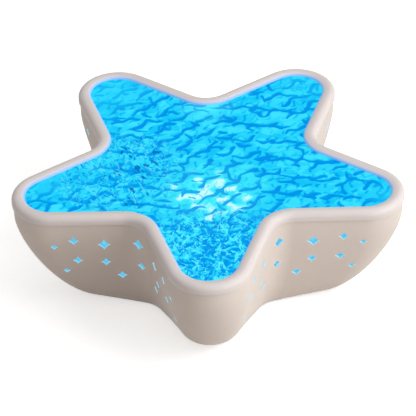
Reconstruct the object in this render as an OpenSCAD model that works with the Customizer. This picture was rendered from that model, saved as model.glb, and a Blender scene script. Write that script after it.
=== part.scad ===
// Star-shaped night light projector: a pierced bowl housing with a rounded rim,
// a rippled lens on top, and a lamp with a motor-turned ripple disc inside.
// The origin is on the table under the star's centre, one arm points to -Y.

/* [Star outline] */
// Radius from the centre to a tip, at the rim
star_r = 90; // [86:0.5:96]
// Rounding of each tip, at the rim
tip_round = 18.4; // [16:0.2:21]
// Radius from the centre to a valley, at the rim
valley_r = 52.9; // [51:0.1:56]
// Rounding of each valley, at the rim
valley_round = 11.1; // [9:0.1:14]
// Radius from the centre to a tip, at the underside
base_tip_r = 61.7; // [60:0.1:66]
// Rounding of each tip, at the underside
base_tip_round = 11.7; // [10.5:0.1:14]
// Radius from the centre to a valley, at the underside
base_valley_r = 43.4; // [43:0.1:46]
// Rounding of each valley, at the underside
base_valley_round = 12.6; // [10:0.1:15]

/* [Heights] */
// Height of the housing from its underside to the top of the rim
body_h = 54.5; // [53:0.5:62]
// Height above the underside at which the wall turns upright
curve_h = 43.7; // [40:0.1:47]
// Fullness of the wall's curve
curve_power = 1.4; // [1.3:0.05:1.7]
// How far the foot stands out below the underside
foot_proud = 1.2; // [0.6:0.1:3]

/* [Housing] */
// Thickness of the side wall
wall = 2.4; // [1.8:0.1:3]
// Thickness of the ledge that the base cover closes against
ledge_t = 1.6; // [1.2:0.1:2.4]
// Step from the rim in to the wall below it
rim_step = 0.65; // [0.3:0.05:1]
// Gap between pieces that fit together
fit_gap = 0.2; // [0.1:0.05:0.35]
// Width of the seat that carries the lens
seat_w = 1.8; // [1.2:0.1:2.4]
// Depth from the seam down to the lens shelf
shelf_h = 6.3; // [5.6:0.1:7]

/* [Rim and lens] */
// Height of the rim above the seam
rim_h = 4.5; // [4.1:0.1:5]
// Width of the rim seen from above
rim_w = 5.9; // [5.2:0.1:7.5]
// Width of the rim's outer rounding
bead_w = 2.8; // [2.2:0.1:4.2]
// Height of the rim's outer rounding
bead_h = 2.4; // [1.8:0.1:3.6]
// Thickness of the rim's skirt
rim_wall = 2.7; // [2.5:0.1:3]
// Height of the rim's tongue, in the groove of the housing
tongue_h = 2.6; // [2:0.1:3]
// Thickness of the rim's tongue
tongue_t = 1; // [0.8:0.1:1.1]
// Thickness of the lens
lens_t = 3; // [2.5:0.1:3.5]
// Depth of the lens below the top of the rim
lens_recess = 1.5; // [1:0.1:2]

/* [Ripples] */
// Depth of a ripple in the lens and the disc
ripple_d = 0.4; // [0.2:0.05:0.7]
// Width of a long ripple
ripple_w = 2.4; // [1.8:0.1:3]
// Distance from one row of long ripples to the next
ripple_pitch = 5.8; // [5.4:0.1:8]
// Length of a long ripple and the gap after it
ripple_run = 19; // [16:0.5:24]
// Width of a short ripple across the rows
cross_w = 2; // [1.5:0.1:2.5]
// Distance from one row of short ripples to the next
cross_pitch = 11; // [9.5:0.5:14]
// Length of a short ripple and the gap after it
cross_run = 14; // [12:0.5:18]

/* [Light slots] */
// Reach of a large slot from its centre
slot_large = 2.95; // [2:0.05:3.2]
// Reach of a middle slot from its centre
slot_mid = 2.35; // [1.6:0.05:2.6]
// Reach of a small slot from its centre
slot_small = 1.75; // [1.2:0.05:2]
// Half width of a slot's waist
slot_waist = 0.8; // [0.5:0.05:1]
// Thickness of the glow liner behind the slots
liner_t = 1; // [0.8:0.1:1.4]
// Gap between the wall and the glow liner
liner_gap = 0.4; // [0.3:0.05:0.6]

/* [Base] */
// Thickness of the base cover's edge
cover_t = 2.4; // [2:0.1:3.2]
// Margin from the underside's outline to the cover
cover_margin = 5; // [4:0.1:6]
// Width of the ledge round the base opening at a valley
ledge_w = 8; // [7.5:0.1:9]
// Distance from a base tip in to its cover screw
screw_inset = 15.7; // [13:0.1:18]
// Height of the cover screws' bosses
boss_h = 8; // [6:0.5:12]
// Outer radius of the ring foot
foot_r = 32; // [30:0.5:33]
// Width of the ring foot
foot_w = 6; // [4:0.5:8]
// Depth of the groove that holds the ring foot
foot_groove = 1; // [0.6:0.1:1.4]

/* [Screws] */
// Radius of a screw's head
head_r = 2.2; // [1.9:0.1:2.4]
// Height of a screw's head
head_h = 1.3; // [1:0.1:1.6]
// Radius of a screw's thread
thread_r = 1.1; // [0.9:0.05:1.3]
// Radial gap round a thread in its pilot hole
thread_gap = 0.02; // [0.01:0.01:0.05]
// Radial gap round a thread in a clearance hole
hole_gap = 0.2; // [0.1:0.05:0.3]

/* [Deck and light tube] */
// Thickness of the deck
deck_t = 2.4; // [2:0.1:3]
// Margin from the base opening in to the deck's edge
deck_margin = 1.5; // [1:0.1:2]
// Radius of the posts that carry the deck
post_r = 3; // [2.6:0.1:3.6]
// Bore radius of the light tube
tube_bore = 11; // [10.8:0.1:11.4]
// Wall of the light tube
tube_wall = 2; // [1.6:0.1:2.4]
// Radius of the light tube's flange
flange_r = 18; // [17.8:0.1:18.4]
// Thickness of the light tube's flange
flange_t = 3; // [2.6:0.1:3.6]
// Height of the condenser's seat above the deck
condenser_h = 7; // [6:0.5:9]
// Radius of the lamp board
lamp_r = 10.4; // [10.2:0.1:10.6]
// Thickness of the lamp board
lamp_t = 1.2; // [1:0.1:1.6]
// Side of one lamp chip
chip_w = 2.8; // [2:0.1:3]
// Radius of the circle of lamp chips
chip_ring_r = 5.2; // [4.8:0.1:5.4]
// Radius of the heat sink's column
column_r = 6.2; // [5.4:0.1:6.4]
// Free length of the column between the deck and the fins
column_h = 4.4; // [4:0.1:5]
// Height of the heat sink's fins
fin_h = 9; // [6:0.5:11]
// Reach of the heat sink's fins
fin_r = 12.5; // [10:0.1:13.5]

/* [Drive] */
// Module of the drive gears
gear_module = 0.9; // [0.9:0.01:0.94]
// Teeth on the drive ring
ring_teeth = 44; // [44:1:46]
// Teeth on the pinion
pinion_teeth = 12; // [12:1:14]
// Height of the drive teeth
gear_h = 5; // [4:0.1:6]
// Play between the meshing teeth
backlash = 0.24; // [0.15:0.01:0.35]
// Radial running gap of the drive ring and the shafts
run_gap = 0.05; // [0.03:0.01:0.09]
// Thickness of the thrust washer
washer_t = 0.6; // [0.4:0.1:1]
// Wall of the drive ring's sleeve
sleeve_wall = 1.6; // [1.4:0.1:2]
// Thickness of the retaining clip
clip_t = 0.8; // [0.6:0.1:1]
// Reach of the retaining clip past the tube
clip_w = 1.2; // [1:0.1:1.3]
// Radius of the ripple disc
disc_r = 40; // [34:0.5:43]
// Thickness of the ripple disc
disc_t = 2; // [1.6:0.1:3]
// Wall of the ripple disc's skirt
skirt_wall = 1.6; // [1.2:0.1:2]
// Height of the ripple disc's skirt
skirt_h = 9; // [8:0.1:10]
// Gap between the ripple disc and the lens
disc_gap = 4; // [3:0.1:5]
// Radius of the motor's can
motor_r = 8; // [7:0.1:8.2]
// Height of the motor's can
motor_h = 14; // [11:0.5:15]
// Radius of the motor's shaft
shaft_r = 1.5; // [1.2:0.05:1.8]

/* [Controls] */
// Width of the control board
board_w = 31; // [28:0.5:34]
// Height of the control board
board_h = 35; // [34:0.5:37]
// Thickness of the control board
board_t = 1.6; // [1.2:0.1:2]
// Height of the upper button above the underside
power_h = 33.5; // [33:0.1:35]
// Height of the lower button above the underside
mode_h = 21.5; // [20.5:0.1:22]
// Height of the power inlet above the underside
inlet_h = 10.8; // [10:0.1:12]
// Radius of a button
button_r = 4; // [3.4:0.1:4.3]
// Radial gap round a button in the wall
button_gap = 0.25; // [0.2:0.05:0.4]
// How far a button stands out of the wall
button_proud = 1.2; // [1:0.1:2]
// Depth of the dish in a button's face
button_dish = 0.6; // [0.2:0.1:1]
// Travel of a button
button_travel = 0.8; // [0.4:0.1:0.9]
// Side of a push switch
switch_w = 6; // [5:0.1:7]
// Height of a push switch
switch_h = 3.5; // [3:0.1:4]
// Width of the power inlet's shell
inlet_w = 9; // [8.6:0.1:9.4]
// Height of the power inlet's shell
inlet_t = 3.3; // [3.1:0.1:3.6]

/* [Hidden] */
$fn = 64;

// Heights, counted up from the table
floor_t = cover_t + ledge_t;
seam_h = body_h - rim_h;
shelf_top = seam_h - shelf_h;
z_base = foot_proud;
z_ledge = z_base + cover_t;
z_floor = z_ledge + ledge_t;
z_seam = z_base + seam_h;
z_groove = z_seam - tongue_h - fit_gap;
z_lens_top = z_base + body_h - lens_recess;
z_lens = z_lens_top - lens_t;
z_disc = z_lens - disc_gap - disc_t;
z_gear_top = z_disc - skirt_h;
z_gear = z_gear_top - gear_h;
z_flange = z_gear - washer_t;
z_deck_top = z_flange - flange_t;
z_deck = z_deck_top - deck_t;

// Light tube, drive ring and retaining clip
clip_play = 0.2;
tube_lip = 0.8;
disc_play = 0.6;
groove_d = 0.7;
tube_r = tube_bore + tube_wall;
sleeve_r = tube_r + run_gap + sleeve_wall;
sleeve_h = skirt_h - clip_play - clip_t - tube_lip - disc_play;
z_clip = z_gear_top + sleeve_h + clip_play;
z_tube_top = z_clip + clip_t + tube_lip;
condenser_ledge = 1.2;
lens_edge = 1.6;
lens_dome = 4;

// Gear mesh
pressure = 25;
addendum = 0.8 * gear_module;
dedendum = 0.95 * gear_module;
centre_d = gear_module * (ring_teeth + pinion_teeth) / 2 + 0.05;

// Base opening, deck and posts
opening_r = base_valley_r - ledge_w;
deck_r = opening_r - deck_margin;
post_at = deck_r - post_r - 1;
post_angles = [30, 150, 210, 330];
pilot_d = 7;
base_screw_r = base_tip_r - screw_inset;
tube_screw_r = tube_r + 2.9;
tube_screw_angles = [0, 120, 240];
lamp_screw_at = lamp_r - 1.5;
lamp_pad_at = 9;
motor_ear_at = motor_r + 3.4;
ear_t = 1;
small_head_r = 1.4;
small_head_h = 0.9;
small_thread_r = 0.8;

// Control column in the back valley
board_y = opening_r + 0.5;
board_front = board_y + board_t;
switch_face = board_front + switch_h;
flange_lip = 1.1;
button_flange_t = 1;
stem_r = 1.5;
stem_tip = switch_face + button_travel + 0.1;
stem_d = 1.5;
rail_w = 3;
rail_grip = 1.5;

// Small parts of the control board
chip_size = [8, 1.2, 6];
chip_drop = 3;
capacitor_r = 2.8;
capacitor_h = 7;
capacitor_at = [9, 6];
socket_size = [5.2, 4, 4];
socket_x = 4;

// Lead wires, from the sockets on the board to the lamp board and the motor's terminal
wire_r = 0.6;
wire_gap = 1.5;
socket_drop = 5;
lead_y = board_y - socket_size[1];
lead_run = lead_y - lamp_pad_at;
lamp_route = [[-socket_x, lead_y, 0], [-socket_x, lead_y - 2.4, 0], [-socket_x, lead_y - 4.9, 0],
  [-3, lamp_pad_at + 0.48 * lead_run, 1], [-1.2, lamp_pad_at + 0.22 * lead_run, 2],
  [0, lamp_pad_at + 1, 3], [0, lamp_pad_at, 4.2], [0, lamp_pad_at, socket_drop],
  [0, lamp_pad_at, socket_drop + deck_t]];
terminal = [2, 5, 5];
terminal_x = motor_r + terminal[0];
terminal_drop = 7;
lead_fall = (z_deck - socket_drop - z_floor) * 2 / 3;
lead_r = (fin_r + post_at - post_r) / 2;
motor_route = [[socket_x, lead_y, 0], [socket_x, lead_y - 2.4, 0], [socket_x, lead_y - 4.9, 0],
  [11, lead_y - 10.9, -0.5 * lead_fall], [lead_r * cos(30) + 1, lead_r * sin(30), -0.9 * lead_fall],
  [lead_r * cos(12), -lead_r * sin(12), -lead_fall],
  [terminal_x + 7.5, 8.2 - centre_d, -(terminal_drop + lead_fall) / 2],
  [terminal_x + 4, -centre_d, -terminal_drop], [terminal_x + 2.5, -centre_d, -terminal_drop],
  [terminal_x, -centre_d, -terminal_drop]];

// Light slots on each flank: distance from the valley along the wall, height, reach
flank_slots = [[8.4, 39, slot_large], [21.5, 41.3, slot_mid], [30.4, 37.8, slot_small],
  [9, 28.4, slot_mid], [21.3, 29.3, slot_mid], [27.6, 22.2, slot_small], [3.4, 20, slot_mid]];
// Light slots down the middle of each open valley: height, reach
valley_slots = [[40.4, slot_large], [27.4, slot_mid]];
back_valley = 2;

// Rows of ripples: lean, pitch, run, groove's share of the run, width, and its two waves
long_ripples = [24, ripple_pitch, ripple_run, 0.64, ripple_w, [2.1, 26], [0.8, 9.5]];
cross_ripples = [-40, cross_pitch, cross_run, 0.42, cross_w, [2, 22], [0.6, 8]];
ripple_n = 3;

// Angle from one arm to the next, and from an arm to its valley
arm_step = 72;
half_step = arm_step / 2;

// Facets of the star
tip_n = 6;
valley_n = 5;
outer_n = 11;
inner_n = 7;

function mix(a, b, t) = a + (b - a) * t;
function turned(p, a) = [p[0] * cos(a) - p[1] * sin(a), p[0] * sin(a) + p[1] * cos(a)];

// Fullness of the star at a height above the underside: 0 there, 1 where the wall is upright
function fullness(h) =
  h >= curve_h ? 1 : pow(1 - pow((curve_h - h) / curve_h, curve_power), 1 / curve_power);

// Tip radius, tip rounding, valley radius and valley rounding at a height
function star_at(h) = let (u = fullness(h))
  [mix(base_tip_r, star_r, u), mix(base_tip_round, tip_round, u),
   mix(base_valley_r, valley_r, u), mix(base_valley_round, valley_round, u)];
rim_star = [star_r, tip_round, valley_r, valley_round];
base_star = star_at(0);

// Direction that a straight flank faces, counted from its arm
function flank_turn(s) =
  let (v = [(s[2] + s[3]) * cos(half_step) - s[0] + s[1], (s[2] + s[3]) * sin(half_step)])
  atan2(v[1], v[0]) - acos((s[1] + s[3]) / norm(v));

// Outline of a star drawn in by an inset: tip arcs, halved flanks and valley arcs
function outline(s, inset) =
  let (turn = flank_turn(s), ct = s[0] - s[1], cv = s[2] + s[3], rt = s[1] - inset, rv = s[3] + inset,
    tip = [for (i = [-tip_n:tip_n]) let (t = turn * i / tip_n) [ct + rt * cos(t), rt * sin(t)]],
    valley = [for (i = [-valley_n:valley_n]) let (t = 180 + (half_step - turn) * i / valley_n)
      turned([cv + rv * cos(t), rv * sin(t)], half_step)],
    out = (tip[2 * tip_n] + valley[0]) / 2,
    back = (valley[2 * valley_n] + turned(tip[0], arm_step)) / 2)
  [for (arm = [0:4], p = concat(tip, [out], valley, [back])) turned(p, arm_step * arm - 90)];
function lifted(points, z) = [for (p = points) [p[0], p[1], z]];

// Rings of the wall's two faces, the inner one raised by the floor at its foot
function wall_ring(h) = lifted(outline(star_at(h), rim_step), z_base + h);
function inner_h(i) = floor_t + (shelf_top - floor_t) * pow(i / inner_n, 1.4);
function sunk(h) = max(0, h - floor_t * (shelf_top - h) / (shelf_top - floor_t));
function inner_ring(h, gap) =
  lifted(outline(star_at(sunk(h)), rim_step + wall + gap), z_base + h);

// Face of the back valley, outside and inside, at a height above the underside
function valley_out(h) = star_at(h)[2] - rim_step;
function valley_in(h) = star_at(sunk(h))[2] - rim_step - wall;

function middle(ring) = [for (p = ring) 1] * ring / len(ring);

// Skin through a stack of rings, closed by flat ends or back onto its first ring
module skin(rings, round_trip = false) {
  n = len(rings[0]);
  m = len(rings);
  last = round_trip ? m - 1 : m - 2;
  sides = [for (i = [0:last], j = [0:n - 1])
    let (a = i * n, b = ((i + 1) % m) * n, k = (j + 1) % n)
    each rings[(i + 1) % m][0][2] < rings[i][0][2]
      ? [[a + j, b + j, a + k], [b + j, b + k, a + k]] : [[a + j, b + j, b + k], [a + j, b + k, a + k]]];
  ends = round_trip ? [] : [for (j = [0:n - 1]) let (k = (j + 1) % n, top = (m - 1) * n)
    each [[j, k, m * n], [top + k, top + j, m * n + 1]]];
  middles = round_trip ? [] : [middle(rings[0]), middle(rings[m - 1])];
  points = concat([for (r = rings) each r], middles);
  polyhedron(points = points, faces = concat(sides, ends), convexity = 8);
}

module bar_y(r, y0, y1, z, x = 0) {
  translate([x, y0, z]) rotate([-90, 0, 0]) cylinder(r = r, h = y1 - y0);
}

module tube(r_in, r_out, z0, z1) {
  translate([0, 0, z0]) difference() {
    cylinder(r = r_out, h = z1 - z0);
    translate([0, 0, -1]) cylinder(r = r_in, h = z1 - z0 + 2);
  }
}

module around(r, angles) {
  for (a = angles) rotate([0, 0, a]) translate([r, 0, 0]) children();
}

arms = [for (i = [0:4]) arm_step * i - 90];

// Screw with its head above z = 0, its thread below and a cross recess
module screw(length, r = thread_r - thread_gap, hr = head_r, hh = head_h) {
  difference() {
    union() {
      cylinder(r = hr, h = hh);
      translate([0, 0, -length]) cylinder(r = r, h = length + hh / 2);
    }
    for (a = [0, 90]) rotate([0, 0, a]) translate([-hr * 0.6, -0.25, hh * 0.5])
      cube([hr * 1.2, 0.5, hh]);
  }
}

// Four-pointed slot cutter, facing out along +X
module slot(reach) {
  tips = [for (i = [0:7]) let (r = i % 2 == 0 ? reach : slot_waist * 1.42)
    [r * cos(45 * i), r * sin(45 * i)]];
  translate([-wall - 3.4, 0, 0]) rotate([0, 90, 0]) linear_extrude(wall + 6.6) polygon(tips);
}

// One slot on each flank of an arm, placed along the straight of the wall
module flank_slot(along, h, reach) {
  s = star_at(h);
  turn = flank_turn(s);
  normal = [cos(turn), sin(turn)];
  foot = (s[2] + s[3]) * [cos(half_step), sin(half_step)] - (s[3] + rim_step) * normal;
  spot = foot + along * [sin(turn), -cos(turn)];
  for (side = [0, 1]) mirror([0, side, 0])
    translate([spot[0], spot[1], z_base + h]) rotate([0, 0, turn]) slot(reach);
}

module light_slots() {
  for (a = arms) rotate([0, 0, a]) {
    for (f = flank_slots) flank_slot(f[0], f[1], f[2]);
  }
  for (i = [0:4]) if (i != back_valley) rotate([0, 0, arms[i] + half_step]) {
    for (v = valley_slots) translate([valley_out(v[0]), 0, z_base + v[0]]) slot(v[1]);
  }
}

module stadium(w, t) {
  square([w - t, t], center = true);
  for (side = [-1, 1]) translate([side * (w - t) / 2, 0]) circle(r = t / 2);
}

// Bowl of the star, with the rim's groove, the lens seat, the cover's ledge and the control rails
module lower_shell() {
  groove_out = rim_wall - tongue_t - fit_gap;
  seat = rim_wall + fit_gap;
  top = [[groove_out, z_seam], [groove_out, z_groove], [seat, z_groove], [seat, z_lens],
    [seat + seat_w, z_lens], [seat + seat_w, z_base + shelf_top + 1.5]];
  rings = concat(
    [for (i = [0:outer_n]) wall_ring(seam_h * pow(i / outer_n, 1.6))],
    [for (p = top) lifted(outline(rim_star, p[0]), p[1])],
    [for (i = [inner_n:-1:0]) inner_ring(inner_h(i), 0)]);
  color([0.85, 0.81, 0.78]) difference() {
    union() {
      skin(rings);
      around(base_screw_r, arms) translate([0, 0, z_ledge + 0.4])
        cylinder(r = thread_r + 2.2, h = ledge_t + boss_h - 0.4);
      for (side = [-1, 1]) control_rail(side);
    }
    translate([0, 0, z_ledge - 1]) cylinder(r = opening_r, h = ledge_t + 2);
    translate([0, 0, z_base - 1]) linear_extrude(cover_t + 1) polygon(outline(base_star, cover_margin));
    around(base_screw_r, arms) translate([0, 0, z_base])
      cylinder(r = thread_r, h = floor_t + boss_h - 1.5);
    light_slots();
    for (h = [power_h, mode_h])
      bar_y(button_r + button_gap, valley_in(h) - 3, valley_out(h) + 4, z_base + h);
    translate([0, valley_in(inlet_h) - 3, z_base + inlet_h]) rotate([-90, 0, 0])
      linear_extrude(wall + 8) stadium(inlet_w + 2 * fit_gap, inlet_t + 2 * fit_gap);
  }
}

// Upright rail that holds one edge of the control board
module control_rail(side) {
  x0 = board_w / 2 - rail_grip;
  difference() {
    translate([side > 0 ? x0 : -x0 - rail_w - rail_grip, board_y - 1.8, z_ledge + 0.4])
      cube([rail_w + rail_grip, board_t + 3.6, ledge_t + board_h * 0.7]);
    translate([-board_w / 2 - fit_gap / 2, board_y - fit_gap / 2, z_floor])
      cube([board_w + fit_gap, board_t + fit_gap, board_h]);
  }
}

// Rounded rim that stands in the housing's groove and holds the lens down
module top_bezel() {
  lip_h = rim_h - lens_recess;
  side = max(rim_h - bead_h, 0.5);
  inner_w = rim_w - bead_w;
  profile = concat(
    [[rim_wall, -tongue_h], [rim_wall - tongue_t, -tongue_h], [rim_wall - tongue_t, 0], [0.3, 0], [0, 0.3]],
    [for (i = [0:7]) let (t = 90 * i / 7) [bead_w * (1 - cos(t)), mix(side, rim_h, sin(t))]],
    [for (i = [1:3]) let (t = 30 * i) [bead_w + inner_w * sin(t), rim_h - lens_recess * (1 - cos(t))]],
    [[rim_wall, lip_h]]);
  color([0.87, 0.84, 0.82])
    skin([for (p = profile) lifted(outline(rim_star, p[0]), z_seam + p[1])], round_trip = true);
}

function fraction(x) = x - floor(x);

// Line that a row of ripples follows
function ripple_line(rows, row, along) = row * rows[1]
  + rows[5][0] * sin(360 * along / rows[5][1] + 137.5 * row)
  + rows[6][0] * sin(360 * along / rows[6][1] + 223.5 * row);

// One ripple of a row: a wavy stroke that narrows to its ends
module ripple(rows, row, step) {
  half = rows[2] * rows[3] / 2 * (0.6 + 0.8 * fraction(0.37 * row + 0.71 * step));
  start = (step + fraction(0.618 * row)) * rows[2];
  spots = [for (i = [-ripple_n:ripple_n]) let (t = i / ripple_n, along = start + half * t)
    [along, ripple_line(rows, row, along), rows[4] / 2 * sqrt(1 - pow(t, 4))]];
  last = len(spots) - 1;
  polygon(concat([for (p = spots) [p[0], p[1] + p[2]]],
    [for (i = [last - 1:-1:1]) let (p = spots[i]) [p[0], p[1] - p[2]]]));
}

// Ripples that cover a circle of a given radius
module ripples(reach) {
  for (rows = [long_ripples, cross_ripples]) rotate(rows[0]) {
    n = ceil(reach / rows[1]);
    m = ceil(reach / rows[2]);
    for (row = [-n:n], step = [-m - 1:m]) ripple(rows, row, step);
  }
}

// Clear plate with the rippled face that fills the rim
module wave_lens() {
  color([0, 0.75, 1]) difference() {
    translate([0, 0, z_lens]) linear_extrude(lens_t) polygon(outline(rim_star, rim_wall + fit_gap + 0.1));
    translate([0, 0, z_lens_top - ripple_d]) linear_extrude(ripple_d + 1) intersection() {
      polygon(outline(rim_star, rim_w + 0.3));
      ripples(star_r);
    }
  }
}

// Thin blue liner that stands inside the wall and glows through the slots
module glow_liner() {
  top_h = shelf_top - fit_gap;
  heights = [for (i = [0:inner_n]) min(inner_h(i), top_h)];
  back = valley_out(seam_h);
  notch = button_r + flange_lip + 2 * liner_gap;
  color([0.35, 0.78, 0.95]) difference() {
    skin(concat([for (h = heights) inner_ring(h, liner_gap)],
      [for (i = [inner_n:-1:0]) inner_ring(heights[i], liner_gap + liner_t)]), round_trip = true);
    translate([-notch, opening_r - 2, z_base]) cube([2 * notch, back, body_h]);
  }
}

// Plate that closes the base and carries the posts of the deck
module base_cover() {
  color([0.8, 0.77, 0.74]) difference() {
    union() {
      translate([0, 0, z_base]) linear_extrude(cover_t) polygon(outline(base_star, cover_margin + fit_gap));
      translate([0, 0, z_base + 0.4]) cylinder(r = opening_r - fit_gap, h = floor_t - 0.4);
      around(post_at, post_angles) translate([0, 0, z_ledge]) cylinder(r = post_r, h = z_deck - z_ledge);
    }
    tube(foot_r - foot_w, foot_r, z_base - 1, z_base + foot_groove);
    around(post_at, post_angles) translate([0, 0, z_deck - pilot_d])
      cylinder(r = thread_r, h = pilot_d + 1);
    around(base_screw_r, arms) {
      translate([0, 0, z_base - 1]) cylinder(r = thread_r + hole_gap, h = cover_t + 2);
      translate([0, 0, z_base - 1]) cylinder(r = head_r + 0.4, h = head_h + 1.1);
    }
  }
}

// Soft ring that the projector stands on
module ring_foot() {
  color([0.35, 0.35, 0.36])
    tube(foot_r - foot_w + fit_gap / 2, foot_r - fit_gap / 2, 0, foot_proud + foot_groove);
}

module base_screws() {
  color([0.72, 0.73, 0.75]) around(base_screw_r, arms) translate([0, 0, z_base + head_h + 0.1])
    mirror([0, 0, 1]) screw(cover_t - head_h + ledge_t + boss_h - 2.5);
}

// Round plate that carries the lamp, the light tube and the motor
module deck_plate() {
  color([0.93, 0.93, 0.91]) difference() {
    translate([0, 0, z_deck]) cylinder(r = deck_r, h = deck_t);
    translate([0, 0, z_deck - 1]) {
      cylinder(r = column_r + fit_gap, h = deck_t + 2);
      translate([0, lamp_pad_at, 0]) cylinder(r = wire_gap / 2 + wire_r + 0.35, h = deck_t + 2);
      around(post_at, post_angles) cylinder(r = thread_r + hole_gap, h = deck_t + 2);
      around(tube_screw_r, tube_screw_angles) cylinder(r = small_thread_r + hole_gap, h = deck_t + 2);
      around(lamp_screw_at, [0, 180]) cylinder(r = small_thread_r, h = deck_t + 2);
      translate([0, -centre_d, 0]) cylinder(r = shaft_r + 2 + fit_gap, h = deck_t + 2);
      for (side = [-1, 1]) translate([side * motor_ear_at, -centre_d, 0])
        cylinder(r = small_thread_r, h = deck_t + 2);
    }
  }
}

module deck_screws() {
  color([0.72, 0.73, 0.75]) around(post_at, post_angles) translate([0, 0, z_deck_top])
    screw(deck_t + pilot_d - 1);
}

// Reflecting tube round the lamp; the drive ring runs on its outside
module light_tube() {
  seat = z_deck_top + condenser_h;
  color([0.96, 0.96, 0.95]) difference() {
    union() {
      translate([0, 0, z_deck_top]) cylinder(r = flange_r, h = flange_t);
      translate([0, 0, z_deck_top]) cylinder(r = tube_r, h = z_tube_top - z_deck_top);
    }
    translate([0, 0, z_deck_top - 1]) cylinder(r = tube_bore, h = condenser_h);
    translate([0, 0, z_deck_top]) cylinder(r = tube_bore - condenser_ledge, h = z_tube_top);
    translate([0, 0, seat]) cylinder(r = tube_bore, h = z_tube_top);
    tube(tube_r - groove_d, tube_r + 1, z_clip, z_clip + clip_t + 0.05);
    around(tube_screw_r, tube_screw_angles) translate([0, 0, z_deck_top - 1])
      cylinder(r = small_thread_r, h = flange_t + 0.4);
  }
}

module tube_screws() {
  color([0.72, 0.73, 0.75]) around(tube_screw_r, tube_screw_angles) translate([0, 0, z_deck])
    mirror([0, 0, 1])
    screw(deck_t + flange_t - 1, small_thread_r - thread_gap, small_head_r, small_head_h);
}

module thrust_washer() {
  color([0.9, 0.9, 0.86]) tube(tube_r + fit_gap, flange_r - 1, z_flange, z_gear);
}

// Open spring clip in the tube's groove, over the drive ring
module retaining_clip() {
  color([0.62, 0.63, 0.66]) difference() {
    tube(tube_r - groove_d + 0.1, tube_r + clip_w, z_clip, z_clip + clip_t);
    translate([0, -2.5, z_clip - 1]) cube([tube_r + clip_w + 1, 5, clip_t + 2]);
  }
}

// Domed lens on the ledge inside the light tube
module condenser_lens() {
  r = tube_bore - fit_gap / 2;
  ball = (r * r + lens_dome * lens_dome) / (2 * lens_dome);
  color([0.85, 0.93, 0.97]) translate([0, 0, z_deck_top + condenser_h]) intersection() {
    cylinder(r = r, h = lens_edge + lens_dome + 1);
    translate([0, 0, lens_edge + lens_dome - ball]) sphere(r = ball);
  }
}

module lamp_board() {
  color([0.9, 0.9, 0.88]) translate([0, 0, z_deck_top]) difference() {
    cylinder(r = lamp_r, h = lamp_t);
    around(lamp_screw_at, [0, 180]) translate([0, 0, -1])
      cylinder(r = small_thread_r + hole_gap, h = lamp_t + 2);
  }
}

module lamp_chips() {
  color([0.95, 0.9, 0.5]) translate([0, 0, z_deck_top + lamp_t]) {
    translate([-chip_w / 2, -chip_w / 2, 0]) cube([chip_w, chip_w, 1.2]);
    around(chip_ring_r, [30:60:330]) translate([-chip_w / 2, -chip_w / 2, 0]) cube([chip_w, chip_w, 1.2]);
  }
}

module lamp_screws() {
  color([0.72, 0.73, 0.75]) around(lamp_screw_at, [0, 180]) translate([0, 0, z_deck_top + lamp_t])
    screw(lamp_t + deck_t - 0.4, small_thread_r - thread_gap, small_head_r, small_head_h);
}

// Column under the lamp board with a crown of fins below the deck
module heat_sink() {
  z_fin = z_deck - column_h - fin_h;
  color([0.75, 0.77, 0.79]) {
    translate([0, 0, z_fin]) cylinder(r = column_r, h = z_deck_top - z_fin);
    for (a = [0:30:330]) rotate([0, 0, a]) translate([column_r - 1, -0.6, z_fin])
      cube([fin_r - column_r + 1, 1.2, fin_h]);
  }
}

// Geared motor hung under the deck by two ears
module drive_motor() {
  color([0.7, 0.71, 0.73]) translate([0, -centre_d, 0]) difference() {
    union() {
      translate([0, 0, z_deck - motor_h]) cylinder(r = motor_r, h = motor_h);
      translate([0, 0, z_deck - 1]) cylinder(r = shaft_r + 2, h = deck_t + 1);
      translate([motor_r - 1, -terminal[1] / 2, z_deck - socket_drop - terminal_drop - terminal[2] / 2])
        cube(terminal + [1, 0, 0]);
      translate([-motor_ear_at, -2.6, z_deck - ear_t]) cube([2 * motor_ear_at, 5.2, ear_t]);
      for (side = [-1, 1]) translate([side * motor_ear_at, 0, z_deck - ear_t]) cylinder(r = 2.6, h = ear_t);
    }
    translate([0, 0, z_deck_top - 9]) cylinder(r = shaft_r + run_gap, h = 10);
    for (side = [-1, 1]) translate([side * motor_ear_at, 0, z_deck - 2])
      cylinder(r = small_thread_r + hole_gap, h = 3);
  }
}

module motor_screws() {
  color([0.72, 0.73, 0.75]) for (side = [-1, 1])
    translate([side * motor_ear_at, -centre_d, z_deck - ear_t]) mirror([0, 0, 1])
    screw(ear_t + deck_t - 0.4, small_thread_r - thread_gap, small_head_r, small_head_h);
}

// Upright board behind the back valley, held in the two rails
module control_board() {
  color([0.1, 0.42, 0.25]) translate([-board_w / 2, board_y, z_floor]) cube([board_w, board_t, board_h]);
}

module control_chip() {
  color([0.12, 0.12, 0.13])
    translate([-chip_size[0] / 2, board_y - chip_size[1], z_floor + board_h - chip_drop - chip_size[2]])
    cube(chip_size);
}

module capacitors() {
  color([0.2, 0.22, 0.3]) for (side = [-1, 1])
    bar_y(capacitor_r, board_y - capacitor_h, board_y, z_floor + capacitor_at[1], side * capacitor_at[0]);
}

module lead_sockets() {
  color([0.94, 0.93, 0.88]) for (side = [-1, 1])
    translate([side * socket_x - socket_size[0] / 2, lead_y, z_deck - socket_drop - socket_size[2] / 2])
    cube(socket_size);
}

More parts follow.
